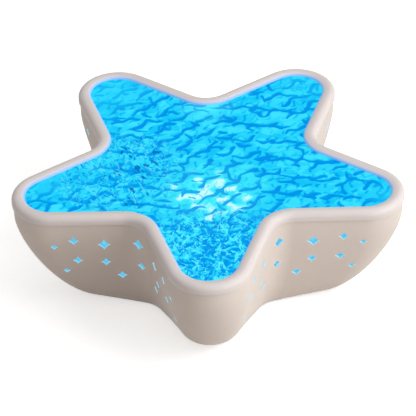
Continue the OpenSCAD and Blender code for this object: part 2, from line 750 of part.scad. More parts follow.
// Power inlet shell with its contact tongue, reaching out through the wall
module power_inlet() {
  front = valley_out(inlet_h) - 0.4;
  color([0.78, 0.79, 0.81]) translate([0, board_front, z_base + inlet_h]) rotate([-90, 0, 0]) {
    difference() {
      linear_extrude(front - board_front) stadium(inlet_w, inlet_t);
      translate([0, 0, 1.5]) linear_extrude(front - board_front) stadium(inlet_w - 0.6, inlet_t - 0.6);
    }
    translate([-3.3, -0.35, 1]) cube([6.6, 0.7, front - board_front - 2]);
  }
}

module push_switches() {
  color([0.2, 0.2, 0.21]) for (h = [power_h, mode_h]) difference() {
    translate([-switch_w / 2, board_front, z_base + h - switch_w / 2]) cube([switch_w, switch_h, switch_w]);
    bar_y(stem_r + 0.1, switch_face - stem_d - button_travel - 0.2, switch_face + 1, z_base + h);
  }
}

module button_stem(h) {
  bar_y(stem_r, switch_face - stem_d, stem_tip, z_base + h);
}

// Round button with a dished face, a flange behind the wall and a boss that meets its switch
module button(h) {
  lip = button_r + flange_lip;
  bevel = 0.6;
  dish_r = button_r - bevel - 0.3;
  front = valley_in(h - lip) - 0.4 - stem_tip;
  face = valley_out(h) + button_proud - stem_tip;
  translate([0, stem_tip, z_base + h]) rotate([-90, 0, 0]) rotate_extrude() polygon(concat(
    [[0, 0], [2.2, 0], [2.2, front - button_flange_t], [lip, front - button_flange_t], [lip, front],
      [button_r, front], [button_r, face - bevel], [button_r - bevel, face]],
    [for (s = [1:-0.2:0]) [dish_r * s, face - button_dish * (1 - s * s)]]));
}

// Smooth curve through a route's points
function bend(p, i, t) =
  let (a = p[max(i - 1, 0)], b = p[i], c = p[i + 1], d = p[min(i + 2, len(p) - 1)])
  0.5 * (2 * b + (c - a) * t + (2 * a - 5 * b + 4 * c - d) * t * t + (3 * b - a - 3 * c + d) * t * t * t);
function smooth(p) =
  concat([for (i = [0:len(p) - 2], t = [0, 1 / 3, 2 / 3]) bend(p, i, t)], [p[len(p) - 1]]);
function unit(v) = v / norm(v);

// Eight-sided wire along a route, its ends square to the first and last steps
module wire(route, side) {
  path = smooth(route);
  n = len(path);
  rings = [for (i = [0:n - 1])
    let (t = unit(path[min(i + 1, n - 1)] - path[max(i - 1, 0)]),
      u = unit(side - (side * t) * t), v = cross(t, u))
    [for (k = [0:7]) path[i] + wire_r * (cos(45 * k) * u + sin(45 * k) * v)]];
  skin(rings);
}

// A route lifted to the middle height of the lead sockets
function placed(route) = [for (p = route) [p[0], p[1], p[2] + z_deck - socket_drop]];

module lamp_lead() {
  color([0.75, 0.15, 0.12]) for (x = [-wire_gap / 2, wire_gap / 2])
    translate([x, 0, 0]) wire(placed(lamp_route), [1, 0, 0]);
}

module motor_lead() {
  color([0.15, 0.15, 0.16]) for (z = [-wire_gap / 2, wire_gap / 2])
    translate([0, 0, z]) wire(placed(motor_route), [0, 0, 1]);
}

// Involute profile: half angle of a tooth at a radius
function roll(base, r) = let (a = acos(min(1, base / r))) tan(a) * 180 / PI - a;
function tooth_half(teeth, r) =
  let (pitch = gear_module * teeth / 2, base = pitch * cos(pressure))
  90 / teeth - backlash / 4 / pitch * 180 / PI + roll(base, pitch) - roll(base, max(r, base));
function gear_outline(teeth) =
  let (pitch = gear_module * teeth / 2, base = pitch * cos(pressure), foot = pitch - dedendum,
    start = max(base, foot), tip = pitch + addendum,
    radii = concat(foot < base ? [foot] : [], [for (i = [0:4]) mix(start, tip, i / 4)]))
  [for (i = [0:teeth - 1]) each concat(
    [for (r = radii) let (a = 360 * i / teeth - tooth_half(teeth, r)) [r * cos(a), r * sin(a)]],
    [for (k = [len(radii) - 1:-1:0]) let (r = radii[k], a = 360 * i / teeth + tooth_half(teeth, r))
      [r * cos(a), r * sin(a)]])];

// Toothed ring that turns the ripple disc, with a tooth toward the pinion
module drive_ring() {
  color([0.95, 0.95, 0.93]) difference() {
    union() {
      translate([0, 0, z_gear]) rotate([0, 0, -90]) linear_extrude(gear_h)
        polygon(gear_outline(ring_teeth));
      translate([0, 0, z_gear]) cylinder(r = sleeve_r, h = gear_h + sleeve_h);
    }
    translate([0, 0, z_gear - 1]) cylinder(r = tube_r + run_gap, h = gear_h + sleeve_h + 2);
  }
}

// Rippled disc whose skirt stands on the drive ring
module ripple_disc() {
  skirt_r = sleeve_r + fit_gap / 2;
  color([0.7, 0.85, 0.95]) translate([0, 0, z_disc]) {
    difference() {
      cylinder(r = disc_r, h = disc_t);
      translate([0, 0, disc_t - ripple_d]) linear_extrude(ripple_d + 1) intersection() {
        circle(r = disc_r - 1);
        ripples(disc_r);
      }
    }
    tube(skirt_r, skirt_r + skirt_wall, -skirt_h, 0.5);
  }
}

module motor_shaft() {
  color([0.82, 0.83, 0.85]) translate([0, -centre_d, z_deck_top - 8.8])
    cylinder(r = shaft_r, h = z_gear_top + 0.6 - z_deck_top + 8.8);
}

// Motor gear, turned so that a gap faces the drive ring's tooth
module pinion() {
  color([0.93, 0.85, 0.5]) translate([0, -centre_d, z_gear - 0.5]) difference() {
    rotate([0, 0, 90 + 180 / pinion_teeth]) linear_extrude(gear_h + 1) polygon(gear_outline(pinion_teeth));
    translate([0, 0, -1]) cylinder(r = shaft_r + thread_gap, h = gear_h + 3);
  }
}

module power_button() { color([0.86, 0.83, 0.81]) button(power_h); }
module power_stem() { color([0.15, 0.15, 0.16]) button_stem(power_h); }
module mode_button() { color([0.86, 0.83, 0.81]) button(mode_h); }
module mode_stem() { color([0.15, 0.15, 0.16]) button_stem(mode_h); }

lower_shell();
top_bezel();
wave_lens();
glow_liner();
base_cover();
ring_foot();
base_screws();
deck_plate();
deck_screws();
light_tube();
tube_screws();
thrust_washer();
retaining_clip();
condenser_lens();
lamp_board();
lamp_chips();
lamp_screws();
heat_sink();
drive_motor();
motor_screws();
control_board();
control_chip();
capacitors();
lead_sockets();
power_inlet();
push_switches();
lamp_lead();
motor_lead();
drive_ring();
ripple_disc();
motor_shaft();
pinion();
power_button();
power_stem();
mode_button();
mode_stem();
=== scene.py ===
import math
import bmesh
import bpy
from mathutils import Matrix, Vector, noise


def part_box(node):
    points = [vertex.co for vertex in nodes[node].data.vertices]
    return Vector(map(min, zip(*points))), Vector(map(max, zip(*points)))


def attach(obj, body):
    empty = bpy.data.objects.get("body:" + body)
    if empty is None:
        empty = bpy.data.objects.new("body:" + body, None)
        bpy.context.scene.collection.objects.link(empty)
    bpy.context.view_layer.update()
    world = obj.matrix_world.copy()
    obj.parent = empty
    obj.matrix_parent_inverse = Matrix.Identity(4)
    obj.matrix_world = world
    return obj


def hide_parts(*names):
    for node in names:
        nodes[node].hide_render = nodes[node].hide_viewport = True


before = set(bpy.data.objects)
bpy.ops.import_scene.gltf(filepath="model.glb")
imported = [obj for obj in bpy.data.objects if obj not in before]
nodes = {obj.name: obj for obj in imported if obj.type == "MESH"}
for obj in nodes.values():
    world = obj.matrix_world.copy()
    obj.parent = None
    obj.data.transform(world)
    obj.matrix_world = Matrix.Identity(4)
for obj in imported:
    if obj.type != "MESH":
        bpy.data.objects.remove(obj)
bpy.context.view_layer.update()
mm = 0.001
print("frame loaded:", len(nodes), "nodes")


# camera, at the photograph's angle
photoView = {
    "elevation": 36.84,
    "azimuth": 0.31,
    "distance": 923.4,   # mm from the aim point
    "lens": 175.2,       # on the 36 mm sensor
    "roll": -1.23,
    "aim": (0.0, 0.0, 28.44),
    "nudge": (-0.25, 0.78),  # aim moved right and up in the picture, mm
    "clip": (0.05, 20),      # metres
}


def makeCamera(view):
    turn, tilt, roll = (math.radians(view[k]) for k in ("azimuth", "elevation", "roll"))
    back = Vector((math.sin(turn) * math.cos(tilt), -math.cos(turn) * math.cos(tilt), math.sin(tilt)))
    level = Vector((math.cos(turn), math.sin(turn), 0))
    upright = back.cross(level)
    right = level * math.cos(roll) + upright * math.sin(roll)
    up = upright * math.cos(roll) - level * math.sin(roll)
    place = Vector(view["aim"]) + right * view["nudge"][0] + up * view["nudge"][1] + back * view["distance"]
    bpy.ops.object.camera_add()
    camera = bpy.context.object
    camera.name = "photoCamera"
    camera.data.lens = view["lens"]
    camera.data.clip_start, camera.data.clip_end = view["clip"]
    camera.matrix_world = Matrix((
        (right.x, up.x, back.x, place.x * mm),
        (right.y, up.y, back.y, place.y * mm),
        (right.z, up.z, back.z, place.z * mm),
        (0, 0, 0, 1)))
    bpy.context.scene.camera = camera


makeCamera(photoView)
print("camera placed")


# the star: tip radius, tip rounding, valley radius, valley rounding, all in mm
star = {
    "arms": 5,
    "rim": (90.0, 18.4, 52.9, 11.1),
    "base": (61.7, 11.7, 43.4, 12.6),
    "curveHeight": 43.7,   # the wall turns upright here, above the underside
    "curvePower": 1.4,
    "footLift": 1.2,       # underside above the table
    "tipSteps": 14,
    "flankSteps": 8,
    "valleySteps": 10,
}
armTurn = math.tau / star["arms"]   # from one tip to the next
halfTurn = armTurn / 2              # from a tip to the valley beside it
frontTurn = -math.pi / 2            # the first arm points to the front


def starAt(height):
    full = 1.0
    if height < star["curveHeight"]:
        drop = (star["curveHeight"] - max(height, 0)) / star["curveHeight"]
        full = (1 - drop ** star["curvePower"]) ** (1 / star["curvePower"])
    return tuple(b + (r - b) * full for b, r in zip(star["base"], star["rim"]))


# the way that a flank faces, from the arm's own axis
def flankTurn(sizes):
    tip, tipRound, valley, valleyRound = sizes
    across = (valley + valleyRound) * math.cos(halfTurn) - tip + tipRound
    along = (valley + valleyRound) * math.sin(halfTurn)
    return math.atan2(along, across) - math.acos((tipRound + valleyRound) / math.hypot(across, along))


def spun(x, y, angle):
    return (x * math.cos(angle) - y * math.sin(angle), x * math.sin(angle) + y * math.cos(angle))


def starRing(sizes, inset, height):
    tip, tipRound, valley, valleyRound = sizes
    turn = flankTurn(sizes)
    n, m, k = star["tipSteps"], star["valleySteps"], star["flankSteps"]
    out, dip = tipRound - inset, valleyRound + inset
    tipArc = [(tip - tipRound + out * math.cos(turn * i / n), out * math.sin(turn * i / n))
              for i in range(-n, n + 1)]
    dipArc = []
    for i in range(-m, m + 1):
        angle = math.pi + (halfTurn - turn) * i / m
        dipArc.append(spun(valley + valleyRound + dip * math.cos(angle), dip * math.sin(angle), halfTurn))
    nextTip = spun(*tipArc[0], armTurn)
    arm = list(tipArc)
    for a, b, arc in ((tipArc[-1], dipArc[0], dipArc), (dipArc[-1], nextTip, [])):
        arm += [(a[0] + (b[0] - a[0]) * s / k, a[1] + (b[1] - a[1]) * s / k) for s in range(1, k)] + arc
    points = [spun(x, y, i * armTurn + frontTurn) for i in range(star["arms"]) for x, y in arm]
    return [Vector((x, y, height)) * mm for x, y in points]


# a circle with a point for each point of another ring
def roundRing(radius, height, like):
    return [Vector((p.x, p.y, 0)).normalized() * radius * mm + Vector((0, 0, height * mm)) for p in like]


def deselect():
    if bpy.context.object and bpy.context.object.mode != "OBJECT":
        bpy.ops.object.mode_set(mode="OBJECT")
    bpy.ops.object.select_all(action="DESELECT")


def pick(piece):
    deselect()
    piece.select_set(True)
    bpy.context.view_layer.objects.active = piece


def copied(piece):
    pick(piece)
    bpy.ops.object.duplicate()
    return bpy.context.object


def named(name):
    piece = bpy.context.object
    piece.name = piece.data.name = name
    return piece


def selectOpenEdges():
    bpy.ops.mesh.select_all(action="DESELECT")
    bpy.ops.mesh.select_non_manifold(extend=False, use_wire=False, use_multi_face=False,
                                     use_non_contiguous=False, use_verts=False)


def faceOutwards():
    bpy.ops.mesh.select_all(action="SELECT")
    bpy.ops.mesh.normals_make_consistent(inside=False)
    bpy.ops.object.mode_set(mode="OBJECT")


# a circle is laid on the first ring, then its edge is extruded from ring to ring
def loft(name, rings, capped=False):
    deselect()
    count = len(rings[0])
    bpy.ops.mesh.primitive_circle_add(vertices=count)
    piece = named(name)
    bpy.ops.object.mode_set(mode="EDIT")
    mesh = bmesh.from_edit_mesh(piece.data)
    mesh.verts.ensure_lookup_table()
    line = list(range(count))
    for i, p in zip(line, rings[0]):
        mesh.verts[i].co = p
    for ring in rings[1:]:
        bpy.ops.mesh.extrude_edges_move()
        mesh = bmesh.from_edit_mesh(piece.data)
        mesh.verts.ensure_lookup_table()
        fresh = []
        for i, p in zip(line, ring):
            new = next(o for e in mesh.verts[i].link_edges for o in [e.other_vert(mesh.verts[i])] if o.select)
            new.co = p
            fresh.append(new.index)
        line = fresh
    selectOpenEdges()
    if capped:
        bpy.ops.mesh.fill_holes(sides=0)
    else:
        bpy.ops.mesh.bridge_edge_loops()   # the last ring meets the first
    faceOutwards()
    return piece


def cut(piece, cutter, handOver=False):
    pick(piece)
    tool = piece.modifiers.new("cut", "BOOLEAN")
    tool.operation, tool.solver, tool.object = "DIFFERENCE", "EXACT", cutter
    if handOver:
        tool.material_mode = "TRANSFER"  # cut faces keep the cutter's material
    bpy.ops.object.modifier_apply(modifier=tool.name)
    bpy.data.objects.remove(cutter)


def joined(pieces, name):
    deselect()
    for piece in pieces:
        piece.select_set(True)
    bpy.context.view_layer.objects.active = pieces[0]
    bpy.ops.object.join()
    bpy.ops.object.transform_apply(location=True, rotation=True, scale=True)
    return named(name)


def smooth(piece, angle):
    pick(piece)
    bpy.ops.object.shade_smooth_by_angle(angle=math.radians(angle))


def dress(piece, material):
    piece.data.materials.clear()
    piece.data.materials.append(material)


# shader nodes
def noiseNode(tree, vector, scale, detail=2.0, rough=0.5, warp=0.0):
    node = tree.nodes.new("ShaderNodeTexNoise")
    for label, value in (("Scale", scale), ("Detail", detail), ("Roughness", rough), ("Distortion", warp)):
        node.inputs[label].default_value = value
    tree.links.new(vector, node.inputs["Vector"])
    return node


def mathNode(tree, kind, a, b, clamp=False):
    node = tree.nodes.new("ShaderNodeMath")
    node.operation, node.use_clamp = kind, clamp
    for socket, value in zip(node.inputs, (a, b)):
        if isinstance(value, (int, float)):
            socket.default_value = value
        else:
            tree.links.new(value, socket)
    return node.outputs[0]


def product(tree, *values):
    result = values[0]
    for value in values[1:]:
        result = mathNode(tree, "MULTIPLY", result, value)
    return result


# how far a pattern swings from its middle
def swingNode(tree, pattern, amount):
    return product(tree, mathNode(tree, "SUBTRACT", pattern.outputs["Fac"], 0.5), amount)


def rangeNode(tree, value, low, high, outLow=0.0, outHigh=1.0, soft=True):
    node = tree.nodes.new("ShaderNodeMapRange")
    node.interpolation_type = "SMOOTHSTEP" if soft else "LINEAR"
    tree.links.new(value, node.inputs["Value"])
    for label, number in (("From Min", low), ("From Max", high), ("To Min", outLow), ("To Max", outHigh)):
        node.inputs[label].default_value = number
    return node.outputs["Result"]


def mixNode(tree, factor, a, b, kind="MIX"):
    node = tree.nodes.new("ShaderNodeMix")
    node.data_type, node.blend_type = "RGBA", kind
    for socket, value in ((node.inputs[0], factor), (node.inputs[6], a), (node.inputs[7], b)):
        if isinstance(value, (int, float)):
            socket.default_value = value
        elif isinstance(value, tuple):
            socket.default_value = (*value, 1)
        else:
            tree.links.new(value, socket)
    return node.outputs[2]


def shadedColour(tree, colour, shade):
    grey = tree.nodes.new("ShaderNodeCombineColor")
    for socket in grey.inputs[:3]:
        tree.links.new(shade, socket)
    return mixNode(tree, 1.0, colour, grey.outputs[0], "MULTIPLY")


# shader groups
def startGroup(name, inputs, outputs):
    group = bpy.data.node_groups.new(name, "ShaderNodeTree")
    for side, sockets in (("INPUT", inputs), ("OUTPUT", outputs)):
        for label, kind in sockets.items():
            group.interface.new_socket(label, in_out=side, socket_type="NodeSocket" + kind)
    return group, group.nodes.new("NodeGroupInput"), group.nodes.new("NodeGroupOutput")


# fine moulded grain with a broad, faint mottle; patterns are scale per metre, detail, roughness
mould = {
    "fine": (900, 3.0, 0.6), "broad": (38, 3.0), "streak": (120, 4.0),
    "speck": 0.03, "polish": 0.16, "bumpDepth": 0.0002,
}


def makeMouldGroup():
    group, start, end = startGroup(
        "mouldedGrain",
        {"Vector": "Vector", "Colour": "Color", "Grain": "Float", "Mottle": "Float", "Roughness": "Float"},
        {"Colour": "Color", "Roughness": "Float", "Height": "Float"})
    vector = start.outputs["Vector"]
    fine, broad, streak = (noiseNode(group, vector, *mould[name]) for name in ("fine", "broad", "streak"))
    group.links.new(start.outputs["Grain"], fine.inputs["Scale"])   # each material's own scale
    mottle = swingNode(group, broad, start.outputs["Mottle"])
    shade = mathNode(group, "ADD", mottle, swingNode(group, fine, mould["speck"]))
    shade = mathNode(group, "ADD", shade, 1.0)
    group.links.new(shadedColour(group, start.outputs["Colour"], shade), end.inputs["Colour"])
    polish = swingNode(group, streak, mould["polish"])
    group.links.new(mathNode(group, "ADD", start.outputs["Roughness"], polish, True), end.inputs["Roughness"])
    group.links.new(fine.outputs["Fac"], end.inputs["Height"])
    return group


# drawn metal: long thin streaks over a faint stain
metal = {
    "stretch": (1.0, 1.0, 0.06), "lines": (2600, 2.0), "stain": (260, 4.0, 0.6),
    "shade": (0.3, 0.75, 0.78, 1.06),   # range of the stain, then of the shade that it gives
    "polish": 0.3, "bumpDepth": 0.0001, "bump": 0.2,
}


def makeMetalGroup():
    group, start, end = startGroup(
        "drawnMetal",
        {"Vector": "Vector", "Colour": "Color", "Roughness": "Float"},
        {"Colour": "Color", "Roughness": "Float", "Height": "Float"})
    stretch = group.nodes.new("ShaderNodeMapping")
    stretch.inputs["Scale"].default_value = metal["stretch"]
    group.links.new(start.outputs["Vector"], stretch.inputs["Vector"])
    lines = noiseNode(group, stretch.outputs[0], *metal["lines"])
    stain = noiseNode(group, start.outputs["Vector"], *metal["stain"])
    shade = rangeNode(group, stain.outputs["Fac"], *metal["shade"])
    group.links.new(shadedColour(group, start.outputs["Colour"], shade), end.inputs["Colour"])
    polish = swingNode(group, lines, metal["polish"])
    group.links.new(mathNode(group, "ADD", start.outputs["Roughness"], polish, True), end.inputs["Roughness"])
    group.links.new(lines.outputs["Fac"], end.inputs["Height"])
    return group


# distance from an upright axis, as light that fades outwards
def makeLampGroup():
    group, start, end = startGroup("lampFade", {"Vector": "Vector", "Reach": "Float"}, {"Light": "Float"})
    flat = group.nodes.new("ShaderNodeVectorMath")
    flat.operation = "MULTIPLY"
    flat.inputs[1].default_value = (1, 1, 0)
    group.links.new(start.outputs["Vector"], flat.inputs[0])
    length = group.nodes.new("ShaderNodeVectorMath")
    length.operation = "LENGTH"
    group.links.new(flat.outputs[0], length.inputs[0])
    share = mathNode(group, "DIVIDE", length.outputs["Value"], start.outputs["Reach"])
    group.links.new(rangeNode(group, share, 0.0, 1.0, 1.0, 0.0), end.inputs["Light"])
    return group


mouldGroup, metalGroup, lampGroup = makeMouldGroup(), makeMetalGroup(), makeLampGroup()


def newMaterial(name, preview):
    material = bpy.data.materials.new(name)
    material.use_nodes = True
    material.diffuse_color = (*preview, 1)
    tree = material.node_tree
    coords = tree.nodes.new("ShaderNodeTexCoord").outputs["Object"]
    return material, tree, tree.nodes["Principled BSDF"], coords


def placeGroup(tree, group, coords, **values):
    node = tree.nodes.new("ShaderNodeGroup")
    node.node_tree = group
    tree.links.new(coords, node.inputs["Vector"])
    for label, value in values.items():
        node.inputs[label].default_value = (*value, 1) if isinstance(value, tuple) else value
    return node


# a group's colour, roughness and height on the shader
def wearSkin(tree, shader, skin, depth, strength):
    tree.links.new(skin.outputs["Colour"], shader.inputs["Base Color"])
    tree.links.new(skin.outputs["Roughness"], shader.inputs["Roughness"])
    bump = tree.nodes.new("ShaderNodeBump")
    bump.inputs["Strength"].default_value = strength
    bump.inputs["Distance"].default_value = depth
    tree.links.new(skin.outputs["Height"], bump.inputs["Height"])
    tree.links.new(bump.outputs[0], shader.inputs["Normal"])


def mouldedPlastic(name, colour, roughness=0.5, grain=900.0, mottle=0.05, bump=0.15, specular=0.4):
    material, tree, shader, coords = newMaterial(name, colour)
    skin = placeGroup(tree, mouldGroup, coords,
                      Colour=colour, Roughness=roughness, Grain=grain, Mottle=mottle)
    wearSkin(tree, shader, skin, mould["bumpDepth"], bump)
    shader.inputs["Specular IOR Level"].default_value = specular
    return material


def drawnMetal(name, colour, roughness):
    material, tree, shader, coords = newMaterial(name, colour)
    skin = placeGroup(tree, metalGroup, coords, Colour=colour, Roughness=roughness)
    wearSkin(tree, shader, skin, metal["bumpDepth"], metal["bump"])
    shader.inputs["Metallic"].default_value = 1.0
    return material


def attributeNode(tree, name):
    node = tree.nodes.new("ShaderNodeAttribute")
    node.attribute_name = name
    return node.outputs["Fac"]


# cut faces of the light slots: the wall's plastic in a paler, bluer tone, with a painted glow for the liner's
# light on them and a darker base colour towards the inside under that glow
slotLight = {
    "preview": (0.6, 0.85, 0.9),
    # paler and bluer than the shell's plastic: painted light from the liner
    "skin": {"Colour": (0.5, 0.57, 0.6), "Roughness": 0.5, "Grain": 1200.0, "Mottle": 0.1},
    "fade": (0.05, 0.45),             # share of the wall's thickness over which it changes
    "inner": (0.02, 0.12, 0.2),       # darker base colour towards the inside, so that the painted glow gives the colour there
    # painted glow of the liner's light on the cut faces, paler outside and bluer inside
    "outerPaintedGlow": (0.18, 0.40, 0.50), "innerPaintedGlow": (0.11, 0.49, 0.70), "strength": 0.9,
}


def makeSlotEdge():
    look = slotLight
    material, tree, shader, coords = newMaterial("slotEdge", look["preview"])
    lit = rangeNode(tree, attributeNode(tree, "slotDepth"), *look["fade"])
    skin = placeGroup(tree, mouldGroup, coords, **look["skin"])
    colour = mixNode(tree, lit, skin.outputs["Colour"], look["inner"])
    glow = mixNode(tree, lit, look["outerPaintedGlow"], look["innerPaintedGlow"])
    tree.links.new(colour, shader.inputs["Base Color"])
    tree.links.new(skin.outputs["Roughness"], shader.inputs["Roughness"])
    tree.links.new(glow, shader.inputs["Emission Color"])
    shader.inputs["Emission Strength"].default_value = look["strength"]
    return material


# lit liner: blue, with soft uneven light
linerLight = {
    "preview": (0.1, 0.5, 0.85),
    "far": (0.08, 0.45, 0.68), "near": (0.19, 0.66, 0.80), "strength": 0.9,
    "reach": 110.0,                   # mm from the lamp's axis
    "cloud": (160, 2.0), "uneven": 0.5,
    "dark": (0.02, 0.05, 0.08), "darkShare": 0.5, "roughness": 0.5,
}


def makeLinerGlow():
    look = linerLight
    material, tree, shader, coords = newMaterial("linerGlow", look["preview"])
    light = placeGroup(tree, lampGroup, coords, Reach=look["reach"] * mm)
    cloud = noiseNode(tree, coords, *look["cloud"])
    level = mathNode(tree, "ADD", light.outputs["Light"], swingNode(tree, cloud, look["uneven"]), True)
    colour = mixNode(tree, level, look["far"], look["near"])
    tree.links.new(colour, shader.inputs["Emission Color"])
    tree.links.new(mixNode(tree, look["darkShare"], colour, look["dark"]), shader.inputs["Base Color"])
    shader.inputs["Emission Strength"].default_value = look["strength"]
    shader.inputs["Roughness"].default_value = look["roughness"]
    return material


slotEdge, linerGlow = makeSlotEdge(), makeLinerGlow()
print("shared materials made")


# housing
shell = {
    "rimStep": 0.65,      # step from the rim in to the wall, mm
    "wall": 2.4,
    "floor": 4.0,
    "shelfTop": 43.7,
    "shelfLip": 1.5,      # upright edge above the shelf
    "seam": 50.0,         # above the underside
    "grooveOut": 1.5,     # inset of the groove for the rim's tongue
    "grooveDeep": 2.8,
    "seat": 2.9,          # inset of the lens seat
    "seatWidth": 1.8,
    "lensBottom": 51.2,   # above the table
    "coverMargin": 5.0,
    "coverThick": 2.4,
    "opening": 35.4,
    "outerRings": 34,
    "outerCrowd": 1.7,    # rings stand closer towards the underside
    "innerRings": 14,
    "innerCrowd": 1.4,
    "screwRing": 46.0,
    "bossRadius": 3.3,
    "bossHeight": 8.0,
    "bossLift": 0.8,      # from the ledge, as railLift
    "pilot": 1.1,
    "railWide": 4.5,      # rails of the control board
    "railGrip": 1.5,
    "railLap": 1.8,
    "railTall": 26.1,
    "railLift": 0.4,
    "railPlay": (0.1, 0.1, 5.0),
    "smoothAngle": 28,
}
shellFinish = {
    "colour": (0.66, 0.575, 0.52), "roughness": 0.55, "grain": 700.0, "mottle": 0.06,
    "bump": 0.12, "specular": 0.3,
}
controls = {
    "buttons": (33.5, 21.5),   # heights above the underside
    "buttonRadius": 4.0,
    "buttonGap": 0.25,
    "buttonBore": (44, 60),    # from and to, along Y
    "inletHeight": 10.8,
    "inletWide": 9.0,
    "inletTall": 3.3,
    "inletGap": 0.2,
    "inletBore": (40, 56),
}
shellPlastic = mouldedPlastic("shellPlastic", **shellFinish)


def shellRings():
    s, low = shell, star["footLift"]
    rings = []
    for i in range(s["outerRings"] + 1):
        height = s["seam"] * (i / s["outerRings"]) ** s["outerCrowd"]
        rings.append(starRing(starAt(height), s["rimStep"], low + height))
    seam, depth = low + s["seam"], s["seat"] + s["seatWidth"]
    groove = seam - s["grooveDeep"]
    for inset, height in ((s["grooveOut"], seam), (s["grooveOut"], groove), (s["seat"], groove),
                          (s["seat"], s["lensBottom"]), (depth, s["lensBottom"]),
                          (depth, low + s["shelfTop"] + s["shelfLip"])):
        rings.append(starRing(star["rim"], inset, height))
    for i in range(s["innerRings"], -1, -1):
        height = s["floor"] + (s["shelfTop"] - s["floor"]) * (i / s["innerRings"]) ** s["innerCrowd"]
        sunk = height - s["floor"] * (s["shelfTop"] - height) / (s["shelfTop"] - s["floor"])
        rings.append(starRing(starAt(sunk), s["rimStep"] + s["wall"], low + height))
    ledge = low + s["coverThick"]
    rings += [roundRing(s["opening"], low + s["floor"], rings[0]), roundRing(s["opening"], ledge, rings[0]),
              starRing(star["base"], s["coverMargin"], ledge), starRing(star["base"], s["coverMargin"], low)]
    return rings


slots = {
    "large": 2.95, "middle": 2.35, "small": 1.75,  # reach from the centre, mm
    "waist": 0.56,                                 # share of the reach, on the diagonals
    "depth": (-5.8, 3.2),                          # cutter from inside to outside the wall
    # on a flank: place along it, height above the underside, size
    "flank": ((8.4, 39.0, "large"), (21.5, 41.3, "middle"), (30.4, 37.8, "small"), (9.0, 28.4, "middle"),
              (21.3, 29.3, "middle"), (27.6, 22.2, "small"), (3.4, 20.0, "middle")),
    "valley": ((40.4, "large"), (27.4, "middle")),
    "backValley": 2,                               # has the buttons and no slots
    "points": 32,
}


# one sparkle-shaped cutter that faces along +X
def slotCutter(reach):
    deselect()
    bpy.ops.mesh.primitive_circle_add(vertices=slots["points"], radius=reach * mm, fill_type="NGON",
                                      rotation=(0, math.pi / 2, 0))
    bpy.ops.object.transform_apply(rotation=True)
    cutter = named("slotCutter")
    inside, outside = slots["depth"]
    bend = math.log(2) / math.log(math.sqrt(2) / slots["waist"])   # the power that gives that waist
    bpy.ops.object.mode_set(mode="EDIT")
    mesh = bmesh.from_edit_mesh(cutter.data)
    for v in mesh.verts:
        angle = math.atan2(v.co.z, v.co.y)
        c, s = abs(math.cos(angle)), abs(math.sin(angle))
        radius = reach * (c ** bend + s ** bend) ** (-1 / bend)
        v.co = Vector((inside, radius * math.cos(angle), radius * math.sin(angle))) * mm
    bpy.ops.mesh.select_all(action="SELECT")
    bpy.ops.mesh.extrude_region_move(TRANSFORM_OT_translate={"value": ((outside - inside) * mm, 0, 0)})
    faceOutwards()
    dress(cutter, slotEdge)
    return cutter


def slotPlaces():
    places, lift = [], star["footLift"]
    for height, size in slots["valley"]:
        reach = starAt(height)[2] - shell["rimStep"]
        spot = Matrix.Translation(Vector((reach, 0, height + lift)) * mm)
        for valley in range(star["arms"]):
            if valley != slots["backValley"]:
                places.append((size, Matrix.Rotation(armTurn * valley + frontTurn + halfTurn, 4, "Z") @ spot))
    for along, height, size in slots["flank"]:
        sizes = starAt(height)
        turn = flankTurn(sizes)
        reach, inset = sizes[2] + sizes[3], sizes[3] + shell["rimStep"]
        x = reach * math.cos(halfTurn) - inset * math.cos(turn) + along * math.sin(turn)
        y = reach * math.sin(halfTurn) - inset * math.sin(turn) - along * math.cos(turn)
        for side in (1, -1):
            spot = Matrix.Translation(Vector((x, side * y, height + lift)) * mm)
            lean = Matrix.Rotation(side * turn, 4, "Z")
            for arm in range(star["arms"]):
                places.append((size, Matrix.Rotation(armTurn * arm + frontTurn, 4, "Z") @ spot @ lean))
    return places


def cutSlots(piece):
    originals = {size: slotCutter(slots[size]) for size in ("large", "middle", "small")}
    copies = []
    for size, place in slotPlaces():
        copy = copied(originals[size])
        copy.matrix_world = place
        copies.append(copy)
    cutter = joined(copies, "slotCutters")
    for original in originals.values():
        bpy.data.objects.remove(original)
    print("cutting", len(copies), "light slots")
    cut(piece, cutter, True)
    depth = piece.data.attributes.new("slotDepth", "FLOAT", "POINT")   # 1 on the wall's inner face, 0 outside
    for face in piece.data.polygons:
        if face.material_index == 0 and face.normal.dot(Vector((face.center.x, face.center.y, 0))) < 0:
            for v in face.vertices:
                depth.data[v].value = 1


def barAlongY(name, radius, start, end, height, sides=64):
    deselect()
    bpy.ops.mesh.primitive_cylinder_add(vertices=sides, radius=radius * mm, depth=(end - start) * mm,
                                        location=(0, (start + end) / 2 * mm, height * mm),
                                        rotation=(math.pi / 2, 0, 0))
    bpy.ops.object.transform_apply(location=True, rotation=True)
    return named(name)


# a bar pulled apart at the middle into a stadium
def stadiumBar(name, wide, tall, start, end, height, sides=48):
    bar = barAlongY(name, tall / 2, start, end, height, sides)
    bpy.ops.object.mode_set(mode="EDIT")
    mesh = bmesh.from_edit_mesh(bar.data)
    for v in mesh.verts:
        if abs(v.co.x) > 1e-6:
            v.co.x += math.copysign((wide - tall) / 2 * mm, v.co.x)
    bpy.ops.object.mode_set(mode="OBJECT")
    return bar


def circleRing(radius, height, sides=32):
    return [Vector((*spun(radius, 0, math.tau * i / sides), height)) * mm for i in range(sides)]


# screw bosses on the ledge, with their pilot holes
def makeBosses():
    s, bosses = shell, []
    low = star["footLift"] + s["coverThick"] + s["bossLift"]
    high = low + s["bossHeight"]
    boss = loft("boss", [circleRing(s["bossRadius"], low), circleRing(s["bossRadius"], high),
                         circleRing(s["pilot"], high), circleRing(s["pilot"], low)])
    dress(boss, shellPlastic)
    spot = Matrix.Translation((0, -s["screwRing"] * mm, 0))
    for arm in range(star["arms"]):
        copy = copied(boss)
        copy.matrix_world = Matrix.Rotation(armTurn * arm, 4, "Z") @ spot
        bosses.append(copy)
    bpy.data.objects.remove(boss)
    return bosses


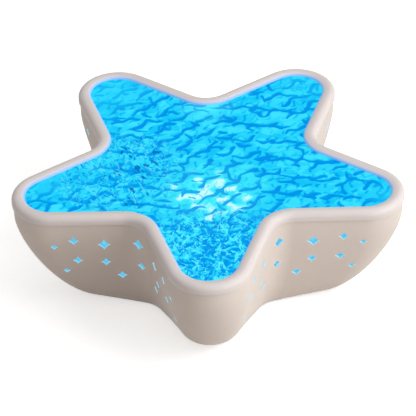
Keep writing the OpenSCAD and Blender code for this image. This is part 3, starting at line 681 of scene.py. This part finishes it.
def block(name, low, high):
    deselect()
    bpy.ops.mesh.primitive_cube_add(size=1, location=(low + high) / 2)
    bpy.context.object.scale = [abs(span) for span in high - low]
    bpy.ops.object.transform_apply(location=True, scale=True)
    return named(name)


# upright rails, grooved for the edges of the control board
def makeRails():
    s, rails = shell, []
    low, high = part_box("control_board")
    base = (star["footLift"] + s["coverThick"] + s["railLift"]) * mm
    lap, play = Vector((0, s["railLap"] * mm, 0)), Vector(s["railPlay"]) * mm
    for side in (1, -1):
        edge = high.x if side > 0 else low.x
        inner, outer = edge - side * s["railGrip"] * mm, edge + side * (s["railWide"] - s["railGrip"]) * mm
        rail = block("rail", Vector((inner, low.y, base)) - lap,
                     Vector((outer, high.y, base + s["railTall"] * mm)) + lap)
        dress(rail, shellPlastic)
        cut(rail, block("groove", low - play, high + play))
        rails.append(rail)
    return rails


def makeShell():
    piece = loft("housingShell", shellRings())
    dress(piece, shellPlastic)
    cutSlots(piece)
    low, c = star["footLift"], controls
    for height in c["buttons"]:
        radius = c["buttonRadius"] + c["buttonGap"]
        cut(piece, barAlongY("buttonHole", radius, *c["buttonBore"], low + height))
    gap = 2 * c["inletGap"]
    cut(piece, stadiumBar("inletHole", c["inletWide"] + gap, c["inletTall"] + gap,
                          *c["inletBore"], low + c["inletHeight"]))
    piece = joined([piece, *makeBosses(), *makeRails()], "housingShell")
    smooth(piece, shell["smoothAngle"])
    return piece


housingShell = makeShell()
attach(housingShell, "housing")
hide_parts("lower_shell")
print("housing made:", len(housingShell.data.polygons), "faces")


# rim
rim = {
    "wall": 2.7, "height": 4.5, "beadWide": 2.8, "beadTall": 2.4,   # mm
    "tongueThick": 1.0, "tongueTall": 2.6,
    "lipWide": 3.1, "lipDrop": 1.5, "foot": 0.45, "footFlat": 0.15,
    "footSteps": 4, "beadSteps": 16, "lipSteps": 8, "smoothAngle": 35,
}
# the shell's plastic, painted lighter and cooler for the light that falls on the rim's top
rimFinishWithPaintedLight = {
    "colour": (0.69, 0.62, 0.60), "roughness": 0.5, "grain": 700.0, "mottle": 0.05,
    "bump": 0.1, "specular": 0.3,
}
rimLight = {   # painted light from the lens on the rim's inner lip; ranges run over the lip, from the bead at 0 to the inner edge at 1
    "paintedFringe": (0.18, 0.36, 0.78), "paintedFringeRange": (0.6, 1.0, 0.0, 0.75),
    "glow": (0.10, 0.30, 0.66), "glowRange": (0.45, 1.0), "strength": 0.38,
}


def quarterTurn(steps, first=0):
    return [math.pi / 2 * i / steps for i in range(first, steps + 1)]


# inset and height above the seam, from the tongue round the outside to the lip
def rimProfile():
    r = rim
    side, lip = r["height"] - r["beadTall"], r["height"] - r["lipDrop"]
    tongue = r["wall"] - r["tongueThick"]
    profile = [(r["wall"], -r["tongueTall"]), (tongue, -r["tongueTall"]), (tongue, 0.0),
               (r["foot"] + r["footFlat"], 0.0)]
    for t in quarterTurn(r["footSteps"]):
        profile.append((r["foot"] * (1 - math.sin(t)), r["foot"] * (1 - math.cos(t))))
    for t in quarterTurn(r["beadSteps"]):
        profile.append((r["beadWide"] * (1 - math.cos(t)), side + r["beadTall"] * math.sin(t)))
    for t in quarterTurn(r["lipSteps"], 1):
        drop = r["lipDrop"] * (1 - math.cos(t))
        profile.append((r["beadWide"] + r["lipWide"] * math.sin(t), r["height"] - drop))
    profile.append((r["wall"], lip))
    return profile


# the rim's plastic, with painted light from the lens on its inner lip: a bluer tint in its colour and a faint
# glow
def makeRimPlastic():
    look = rimLight
    material = mouldedPlastic("rimPlastic", **rimFinishWithPaintedLight)
    tree = material.node_tree
    shader = tree.nodes["Principled BSDF"]
    lip = attributeNode(tree, "lipLight")
    plain = shader.inputs["Base Color"].links[0].from_socket
    tinted = mixNode(tree, rangeNode(tree, lip, *look["paintedFringeRange"]), plain, look["paintedFringe"])
    tree.links.new(tinted, shader.inputs["Base Color"])
    glow = mixNode(tree, rangeNode(tree, lip, *look["glowRange"]), (0.0, 0.0, 0.0), look["glow"])
    tree.links.new(glow, shader.inputs["Emission Color"])
    shader.inputs["Emission Strength"].default_value = look["strength"]
    return material


def makeRim():
    seam = star["footLift"] + shell["seam"]
    profile = rimProfile()
    piece = loft("roundedRim", [starRing(star["rim"], inset, seam + height) for inset, height in profile])
    lit = piece.data.attributes.new("lipLight", "FLOAT", "POINT")   # 1 at the inner edge, 0 on the bead
    count = len(piece.data.vertices) // len(profile)
    for i, spot in enumerate(lit.data):
        spot.value = max(0.0, (profile[i // count][0] - rim["beadWide"]) / rim["lipWide"])
    dress(piece, makeRimPlastic())
    smooth(piece, rim["smoothAngle"])
    return piece


roundedRim = makeRim()
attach(roundedRim, "housing")
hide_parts("top_bezel")
print("rim made:", len(roundedRim.data.polygons), "faces")


# buttons: a dished face on the flange and boss of the piece that each replaces
cap = {
    "boss": 2.2, "flange": 1.0, "edge": 0.7, "flat": 0.3, "dish": 0.6,   # mm
    "flangeBand": 0.1,   # width at the flange's edge in which its front is looked up
    "edgeSteps": 6, "dishSteps": 9, "sides": 64, "smoothAngle": 30,
}
capFinish = {
    "colour": (0.62, 0.55, 0.51), "roughness": 0.42, "grain": 1100.0, "mottle": 0.05,
    "bump": 0.1, "specular": 0.4,
}


# radius and place along Y, in mm, from the boss to the middle of the dish
def capProfile(node):
    low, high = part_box(node)
    lip, radius = (high.x - low.x) / 2 / mm, controls["buttonRadius"]
    back, face = low.y / mm, high.y / mm
    band = (lip - cap["flangeBand"]) * mm
    front = max(v.co.y for v in nodes[node].data.vertices if v.co.x > band) / mm
    profile = [(cap["boss"], back), (cap["boss"], front - cap["flange"]), (lip, front - cap["flange"]),
               (lip, front), (radius, front)]
    for t in quarterTurn(cap["edgeSteps"]):
        profile.append((radius - cap["edge"] * (1 - math.cos(t)), face - cap["edge"] * (1 - math.sin(t))))
    inner = radius - cap["edge"] - cap["flat"]
    for i in range(cap["dishSteps"]):
        share = 1 - i / cap["dishSteps"]
        profile.append((inner * share, face - cap["dish"] * (1 - share ** 2)))
    return profile


def makeCap(name, node):
    low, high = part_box(node)
    middle = (low.z + high.z) / 2
    rings = []
    for radius, y in capProfile(node):
        ring = circleRing(radius, 0, cap["sides"])
        rings.append([Vector((p.x, y * mm, middle + p.y)) for p in ring])
    piece = loft(name, rings, True)
    dress(piece, buttonPlastic)
    smooth(piece, cap["smoothAngle"])
    return piece


buttonPlastic = mouldedPlastic("buttonPlastic", **capFinish)
for name, node, body in (("powerCap", "power_button", "power_key"), ("modeCap", "mode_button", "mode_key")):
    piece = makeCap(name, node)
    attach(piece, body)
    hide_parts(node)
print("buttons made")


# rippled lens
lens = {
    "inset": 3.0, "bottom": shell["lensBottom"], "top": 54.2,   # mm
    "cell": 0.5,
    "swell": 0.3, "swellSize": 0.006, "swellStretch": (1.4, 1, 1),
    "kink": 1.3, "kinkSize": 4.8,    # how far the grooves waver, and over what length
    "kinkSeed": 7,
    "uneven": 0.4,                   # share by which their depth varies
    "smoothAngle": 60,
}

# short wavy grooves in rows; sizes in mm, the two waves are (height, length)
longRipples = {"lean": 24, "pitch": 5.8, "waves": ((2.1, 26), (0.8, 9.5)), "run": 19, "share": 0.64,
               "width": 2.7, "depth": 0.55}
crossRipples = {"lean": -40, "pitch": 11, "waves": ((2.0, 22), (0.6, 8.0)), "run": 14, "share": 0.42,
                "width": 2.3, "depth": 0.5}
fineRipples = {"lean": 58, "pitch": 4.2, "waves": ((1.1, 11), (0.4, 4.3)), "run": 7, "share": 0.6,
               "width": 1.7, "depth": 0.2}

# what makes each groove of a row its own
groove = {
    "shift": 0.618,                       # of a row along itself, in runs
    "rowMix": 0.37, "stepMix": 0.71,      # these pick a groove's length
    "shortest": 0.6, "spread": 0.8,       # its share of the usual length
    "phases": (137.5, 223.5),             # of the two waves, degrees from row to row
    "taper": 4, "profile": 2.5,           # powers of its outline and of its hollow
}


def crossings(ring):
    corners = [Vector((p.x, p.y)) for p in ring]
    return list(zip(corners, corners[1:] + corners[:1]))


def isInside(spans, x, y):
    hits = [x < (b.x - a.x) * (y - a.y) / (b.y - a.y) + a.x for a, b in spans if (a.y > y) != (b.y > y)]
    return sum(hits) % 2 == 1


def snapTo(spans, x, y):
    spot, best = Vector((x, y)), None
    for a, b in spans:
        share = min(1, max(0, (spot - a).dot(b - a) / (b - a).length_squared))
        near = a.lerp(b, share)
        if best is None or (near - spot).length < (best - spot).length:
            best = near
    return best


# depth of one family of grooves at a point, all in mm
def grooveAt(ripples, x, y):
    along, across = spun(x, y, -math.radians(ripples["lean"]))
    run, pitch = ripples["run"], ripples["pitch"]
    middle, deep = round(across / pitch), 0
    for row in range(middle - 1, middle + 2):
        shift = row * groove["shift"] % 1
        step = round(along / run - shift)
        mix = (row * groove["rowMix"] + step * groove["stepMix"]) % 1
        half = run * ripples["share"] / 2 * (groove["shortest"] + groove["spread"] * mix)
        place = (along - (step + shift) * run) / half
        if abs(place) < 1:
            line = row * pitch
            for (rise, length), phase in zip(ripples["waves"], groove["phases"]):
                line += rise * math.sin(math.tau * along / length + row * math.radians(phase))
            width = ripples["width"] / 2 * (1 - place ** groove["taper"]) ** 0.5
            deep = max(deep, 1 - abs((across - line) / width) ** groove["profile"])
    return deep * ripples["depth"]


# a soft swell along the long grooves
def swellLens(piece):
    deselect()
    bpy.ops.object.empty_add(rotation=(0, 0, math.radians(longRipples["lean"])))
    guide = bpy.context.object
    guide.scale = lens["swellStretch"]
    bpy.context.view_layer.update()
    texture = bpy.data.textures.new("rippleSwell", "CLOUDS")
    texture.noise_basis, texture.noise_scale, texture.noise_depth = "ORIGINAL_PERLIN", lens["swellSize"], 1
    pick(piece)
    push = piece.modifiers.new("push", "DISPLACE")
    push.texture, push.texture_coords, push.texture_coords_object = texture, "OBJECT", guide
    push.strength, push.direction, push.mid_level = lens["swell"] * mm, "Z", 1.0
    bpy.ops.object.modifier_apply(modifier=push.name)
    bpy.data.objects.remove(guide)


def makeLens():
    spans = crossings(starRing(star["rim"], lens["inset"], lens["top"])[::2])
    reach = star["rim"][0] * mm
    cells = int(2 * reach / (lens["cell"] * mm))
    deselect()
    bpy.ops.mesh.primitive_grid_add(x_subdivisions=cells, y_subdivisions=cells, size=2 * reach,
                                    location=(0, 0, lens["top"] * mm))
    bpy.ops.object.transform_apply(location=True)
    piece = named("rippledLens")
    bpy.ops.object.mode_set(mode="EDIT")
    bpy.ops.mesh.select_all(action="DESELECT")
    mesh = bmesh.from_edit_mesh(piece.data)
    for v in mesh.verts:
        v.select_set(not isInside(spans, v.co.x, v.co.y))
    bpy.ops.mesh.delete(type="VERT")
    mesh = bmesh.from_edit_mesh(piece.data)
    noise.seed_set(lens["kinkSeed"])
    for v in mesh.verts:
        x, y = v.co.x / mm, v.co.y / mm
        kink = noise.noise_vector(Vector((x, y, 0)) / lens["kinkSize"])
        x, y = x + kink.x * lens["kink"], y + kink.y * lens["kink"]
        deep = max(grooveAt(ripples, x, y) for ripples in (longRipples, crossRipples, fineRipples))
        v.co.z -= mm * deep * (1 + lens["uneven"] * kink.z)
        if v.is_boundary:
            v.co.x, v.co.y = snapTo(spans, v.co.x, v.co.y)
    bpy.ops.object.mode_set(mode="OBJECT")
    swellLens(piece)
    bpy.ops.object.mode_set(mode="EDIT")
    selectOpenEdges()
    bpy.ops.mesh.extrude_edges_move()
    mesh = bmesh.from_edit_mesh(piece.data)
    for v in mesh.verts:
        if v.select:
            v.co.z = lens["bottom"] * mm
    bpy.ops.mesh.fill(use_beauty=False)
    faceOutwards()
    smooth(piece, lens["smoothAngle"])
    return piece


rippledLens = makeLens()
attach(rippledLens, "housing")
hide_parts("wave_lens")
print("lens made:", len(rippledLens.data.polygons), "faces")


# tones of the lit lens
lensTones = {
    "deep": (0.0, 0.27, 0.80), "line": (0.0, 0.36, 0.84), "low": (0.001, 0.49, 0.885),
    "body": (0.008, 0.60, 0.94), "crest": (0.045, 0.76, 0.98), "still": (0.015, 0.63, 0.96),
    "glow": (0.06, 0.89, 0.97), "halo": (0.09, 0.92, 1.0), "spark": (0.62, 1.0, 0.96),
    "thread": (0.09, 0.90, 1.0), "foam": (0.09, 0.78, 0.99), "fleck": (0.0, 0.13, 0.50),
}

# level is 0 deep in the grooves and 1 at the top; spots are x, y and reach in mm; scales are per metre
lensLight = {
    "preview": (0.0, 0.5, 0.95), "strength": 0.97,
    "unlit": (0.0, 0.03, 0.06, 1), "roughness": 0.4, "specular": 0.015,
    "relief": 0.9,  # mm from level 0 to level 1
    "stops": ((0.26, "deep"), (0.60, "line"), (0.67, "low"), (0.76, "body"), (0.98, "crest")),
    "grains": {  # lean in degrees, stretch along and across it
        "facet": (longRipples["lean"], (1.4, 1.0)), "chop": (longRipples["lean"], (1.0, 1.6)),
        "stroke": (66, (1.9, 1.0)), "cross": (-58, (1.9, 1.0))},
    "waver": (260, 2.0), "drift": (0.004, 0.004, 0.0),
    "facetScale": 210, "facetTint": (-0.08, 0.14),
    "facetEdge": (0.0, 0.07, 0.6, 0.0), "edgePatches": (120, 1.0), "patchRange": (0.52, 0.6),
    "spots": {
        "lamp": (1.0, -22.0, 35.0),  # where the lamp shows through the lens
        "blobs": (1.0, -25.0, 26.0), "front": (2.0, -66.0, 46.0),
        "flecks": (-40.0, -4.0, 44.0), "rear": (0.0, 48.0, 17.0)},
    "chop": (336, 0.0, 0.5, 0.5), "chopMiddle": 0.54, "chopGain": 1.6,
    "glows": (("lamp", (0.4, 0.9, 0.2, 0.9), "glow"), ("rear", (0.3, 0.8, 0.3, 0.9), "halo")),
    "blobs": (215, 0.0), "blobPull": 0.31, "blobLevel": (0.45, 0.68), "blobFade": (0.0, 0.3),
    "blobSteps": ((0.54, 0.80, "halo"), (0.71, 0.93, "spark")),
    "calm": ((-80.0, 16.0, 60.0, 0.85), (-54.0, 72.0, 52.0, 0.5),  # spots, and how calm each is
             (54.0, 74.0, 40.0, 0.35), (88.0, -28.0, 26.0, 0.6)),
    "calmFade": (0.1, 0.7),
    "lively": (0.05, 0.5), "stirred": (0.05, 0.6),
    "strokes": (  # grain, scale, start, full, strongest, mask, tone
        ("stroke", 336, 0.45, 0.33, 0.6, "lamp", "body"), ("cross", 336, 0.42, 0.30, 0.6, "lamp", "low"),
        ("stroke", 420, 0.42, 0.33, 0.8, "lively", "deep"), ("cross", 420, 0.40, 0.31, 0.8, "lively", "deep"),
        ("cross", 462, 0.61, 0.72, 0.85, "lively", "thread"),
        ("stroke", 504, 0.61, 0.72, 0.85, "lively", "thread"),
        ("cross", 400, 0.58, 0.68, 0.7, "stirred", "foam"),
        ("stroke", 400, 0.42, 0.34, 0.7, "stirred", "line"),
        ("cross", 440, 0.33, 0.26, 0.9, "stirred", "fleck")),
    "strokeWarp": 1.5,
}


def lensCells(tree, vector, feature):
    node = tree.nodes.new("ShaderNodeTexVoronoi")
    node.feature = feature
    node.inputs["Scale"].default_value = lensLight["facetScale"]
    tree.links.new(vector, node.inputs["Vector"])
    return node.outputs["Color" if feature == "F1" else "Distance"]


def lensSpot(tree, coords, spot):
    x, y, reach = spot
    shift = tree.nodes.new("ShaderNodeMapping")
    shift.inputs["Location"].default_value = (-x * mm, -y * mm, 0)
    tree.links.new(coords, shift.inputs["Vector"])
    return placeGroup(tree, lampGroup, shift.outputs[0], Reach=reach * mm).outputs["Light"]


# a grain along one lean, with a waver in it
def lensGrain(tree, coords, turn, stretch):
    lean = tree.nodes.new("ShaderNodeMapping")
    lean.vector_type = "TEXTURE"    # turned first, then stretched
    lean.inputs["Rotation"].default_value = (0, 0, math.radians(turn))
    lean.inputs["Scale"].default_value = (*stretch, 0.0)
    tree.links.new(coords, lean.inputs["Vector"])
    waver = noiseNode(tree, lean.outputs[0], *lensLight["waver"])
    drift = tree.nodes.new("ShaderNodeMapping")
    drift.inputs["Scale"].default_value = lensLight["drift"]
    tree.links.new(waver.outputs["Color"], drift.inputs["Vector"])
    bent = tree.nodes.new("ShaderNodeVectorMath")
    tree.links.new(lean.outputs[0], bent.inputs[0])
    tree.links.new(drift.outputs[0], bent.inputs[1])
    return bent.outputs[0]


# height in the grooves, shifted by each facet's tint and, towards the front arm, by a finer chop
def lensLevel(tree, coords, grains, front):
    look, top = lensLight, lens["top"]
    split = tree.nodes.new("ShaderNodeSeparateXYZ")
    tree.links.new(coords, split.inputs[0])
    tint = tree.nodes.new("ShaderNodeSeparateColor")
    tree.links.new(lensCells(tree, grains["facet"], "F1"), tint.inputs[0])
    depth = rangeNode(tree, split.outputs["Z"], (top - look["relief"]) * mm, top * mm, soft=False)
    level = mathNode(tree, "ADD", depth, rangeNode(tree, tint.outputs[0], 0, 1, *look["facetTint"]))
    chop = noiseNode(tree, grains["chop"], *look["chop"])
    stir = mathNode(tree, "SUBTRACT", chop.outputs["Fac"], look["chopMiddle"])
    return mathNode(tree, "ADD", level, product(tree, stir, front, look["chopGain"]))


# the tone of each level, with facet outlines in patches
def lensBody(tree, level, grain):
    look = lensLight
    ramp = tree.nodes.new("ShaderNodeValToRGB")
    tree.links.new(level, ramp.inputs[0])
    last = len(look["stops"]) - 1
    for i in range(1, last):
        ramp.color_ramp.elements.new(i / last)
    for element, (place, tone) in zip(ramp.color_ramp.elements, look["stops"]):
        element.position, element.color = place, (*lensTones[tone], 1)
    edge = rangeNode(tree, lensCells(tree, grain, "DISTANCE_TO_EDGE"), *look["facetEdge"])
    patch = noiseNode(tree, grain, *look["edgePatches"])
    outline = product(tree, edge, rangeNode(tree, patch.outputs["Fac"], *look["patchRange"]))
    return mixNode(tree, outline, ramp.outputs[0], lensTones["line"])


# the lamp's glow, a paler rear valley and the white blobs over the lamp
def addLensGlow(tree, colour, level, coords, spots):
    look = lensLight
    for spot, share, tone in look["glows"]:
        glow = product(tree, spots[spot], rangeNode(tree, level, *share))
        colour = mixNode(tree, glow, colour, lensTones[tone])
    blob = noiseNode(tree, coords, *look["blobs"])
    spark = mathNode(tree, "ADD", blob.outputs["Fac"], product(tree, spots["blobs"], look["blobPull"]))
    raised = product(tree, rangeNode(tree, level, *look["blobLevel"]),
                     rangeNode(tree, spots["blobs"], *look["blobFade"]))
    for low, high, tone in look["blobSteps"]:
        white = product(tree, rangeNode(tree, spark, low, high), raised)
        colour = mixNode(tree, white, colour, lensTones[tone])
    return colour


# calmer arm ends, then short strokes: soft over the lamp, deep and bright in front, ink and foam at the left
def addLensStrokes(tree, colour, coords, grains, spots):
    look = lensLight
    for *spot, most in look["calm"]:
        quiet = rangeNode(tree, lensSpot(tree, coords, spot), *look["calmFade"], 0.0, most)
        colour = mixNode(tree, quiet, colour, lensTones["still"])
    masks = {"lamp": spots["blobs"], "lively": rangeNode(tree, spots["front"], *look["lively"]),
             "stirred": rangeNode(tree, spots["flecks"], *look["stirred"])}
    for grain, scale, low, high, most, mask, tone in look["strokes"]:
        stroke = noiseNode(tree, grains[grain], scale, detail=0.0, warp=look["strokeWarp"])
        line = product(tree, rangeNode(tree, stroke.outputs["Fac"], low, high, 0.0, most), masks[mask])
        colour = mixNode(tree, line, colour, lensTones[tone])
    return colour


def makeLensMaterial():
    look = lensLight
    material, tree, shader, coords = newMaterial("litLens", look["preview"])
    grains = {name: lensGrain(tree, coords, *grain) for name, grain in look["grains"].items()}
    spots = {name: lensSpot(tree, coords, spot) for name, spot in look["spots"].items()}
    level = lensLevel(tree, coords, grains, spots["front"])
    colour = lensBody(tree, level, grains["facet"])
    colour = addLensGlow(tree, colour, level, coords, spots)
    colour = addLensStrokes(tree, colour, coords, grains, spots)
    tree.links.new(colour, shader.inputs["Emission Color"])
    shader.inputs["Emission Strength"].default_value = look["strength"]
    shader.inputs["Base Color"].default_value = look["unlit"]
    shader.inputs["Roughness"].default_value = look["roughness"]
    shader.inputs["Specular IOR Level"].default_value = look["specular"]
    return material


dress(rippledLens, makeLensMaterial())
dress(nodes["glow_liner"], linerGlow)
print("lens and liner lit")


# finishes of the CAD pieces that stay as they are: colour and roughness
screwSteel = ((0.56, 0.57, 0.59), 0.3)
stemBlack = ((0.02, 0.02, 0.021), 0.45)
plasticPieces = {
    "base_cover": ((0.58, 0.52, 0.48), 0.55), "ring_foot": ((0.035, 0.035, 0.036), 0.8),
    "deck_plate": ((0.84, 0.84, 0.81), 0.5), "light_tube": ((0.9, 0.9, 0.88), 0.3),
    "thrust_washer": ((0.78, 0.78, 0.72), 0.35), "drive_ring": ((0.87, 0.87, 0.83), 0.35),
    "lamp_chips": ((0.9, 0.78, 0.22), 0.4), "control_board": ((0.02, 0.16, 0.07), 0.3),
    "control_chip": ((0.02, 0.02, 0.021), 0.5), "capacitors": ((0.03, 0.04, 0.08), 0.3),
    "lead_sockets": ((0.86, 0.84, 0.75), 0.5), "push_switches": ((0.025, 0.025, 0.026), 0.5),
    "lamp_lead": ((0.5, 0.025, 0.02), 0.4), "motor_lead": ((0.02, 0.02, 0.021), 0.4),
    "pinion": ((0.82, 0.66, 0.2), 0.35), "power_stem": stemBlack, "mode_stem": stemBlack,
}
metalPieces = {
    "base_screws": screwSteel, "deck_screws": screwSteel, "tube_screws": screwSteel,
    "lamp_screws": screwSteel, "motor_screws": screwSteel, "retaining_clip": ((0.36, 0.37, 0.39), 0.4),
    "lamp_board": ((0.8, 0.8, 0.78), 0.45), "heat_sink": ((0.62, 0.64, 0.66), 0.4),
    "drive_motor": ((0.5, 0.51, 0.53), 0.3), "motor_shaft": ((0.66, 0.67, 0.69), 0.2),
    "power_inlet": ((0.6, 0.61, 0.63), 0.3),
}
clearPieces = {"condenser_lens": ((0.92, 0.96, 0.98), 0.06), "ripple_disc": ((0.72, 0.88, 0.97), 0.09)}
clearFinish = {"grain": 1400.0, "mottle": 0.03, "bump": 0.05, "specular": 0.5}
clearBody = {"Transmission Weight": 0.92, "IOR": 1.49}


def clearPlastic(name, colour, roughness):
    material = mouldedPlastic(name, colour, roughness, **clearFinish)
    shader = material.node_tree.nodes["Principled BSDF"]
    for label, value in clearBody.items():
        shader.inputs[label].default_value = value
    return material


for pieces, makeFinish in (
        (plasticPieces, mouldedPlastic), (clearPieces, clearPlastic), (metalPieces, drawnMetal)):
    for name, finish in pieces.items():
        dress(nodes[name], makeFinish(name + "Finish", *finish))
print("finishes set")


# floor, light and world
studio = {
    "floor": (0.80, 0.79, 0.78), "bounce": (0.55, 0.5, 0.46), "floorGlow": 0.55,
    "floorSize": 6, "floorRough": 0.9, "floorSpecular": 0.1, "white": (1, 1, 1, 1),
    "aim": (0, 0, 0.03),
    "lamps": (   # name, place in metres, size, watts, colour
        ("keyLight", (0.60, -0.28, 0.60), 0.55, 3.8, (0.96, 0.99, 1.0)),
        ("lowLight", (1.1, -0.75, 0.16), 0.6, 7.0, (0.96, 0.985, 0.99)),
        ("topLight", (0.5, 0.4, 1.1), 1.0, 3.3, (0.98, 0.99, 1)),
        ("fillLight", (-0.9, -1.0, 0.8), 1.2, 2.1, (1, 0.97, 0.94))),
    "world": 0.41,
}


def areaLight(name, place, size, power, colour):
    bpy.ops.object.light_add(type="AREA", location=place)
    lamp = bpy.context.object
    lamp.name = name
    lamp.data.shape, lamp.data.size, lamp.data.energy, lamp.data.color = "DISK", size, power, colour
    lamp.rotation_euler = (Vector(studio["aim"]) - Vector(place)).to_track_quat("-Z", "Y").to_euler()


# 1 for the kinds of ray that show the background
def seenBy(tree, *rays):
    path = tree.nodes.new("ShaderNodeLightPath")
    seen = path.outputs[rays[0]]
    for ray in rays[1:]:
        seen = mathNode(tree, "MAXIMUM", seen, path.outputs[ray])
    return seen


def makeFloor():
    deselect()
    bpy.ops.mesh.primitive_plane_add(size=studio["floorSize"])
    floor = named("studioFloor")
    material, tree, shader = newMaterial("floorPaper", studio["floor"])[:3]
    seen = seenBy(tree, "Is Camera Ray", "Is Glossy Ray", "Is Transmission Ray")
    tree.links.new(mixNode(tree, seen, studio["bounce"], studio["floor"]), shader.inputs["Base Color"])
    tree.links.new(product(tree, seen, studio["floorGlow"]), shader.inputs["Emission Strength"])
    shader.inputs["Emission Color"].default_value = studio["white"]
    shader.inputs["Roughness"].default_value = studio["floorRough"]
    shader.inputs["Specular IOR Level"].default_value = studio["floorSpecular"]
    dress(floor, material)


def makeWorld():
    world = bpy.data.worlds.new("studioWorld")
    bpy.context.scene.world = world
    world.use_nodes = True
    tree = world.node_tree
    seen = seenBy(tree, "Is Camera Ray", "Is Transmission Ray")
    background = tree.nodes["Background"]
    background.inputs["Color"].default_value = studio["white"]
    strength = mathNode(tree, "ADD", product(tree, seen, 1 - studio["world"]), studio["world"])
    tree.links.new(strength, background.inputs["Strength"])


makeFloor()
for lamp in studio["lamps"]:
    areaLight(*lamp)
makeWorld()
bpy.context.scene.view_settings.view_transform = "Standard"
print("studio lit")
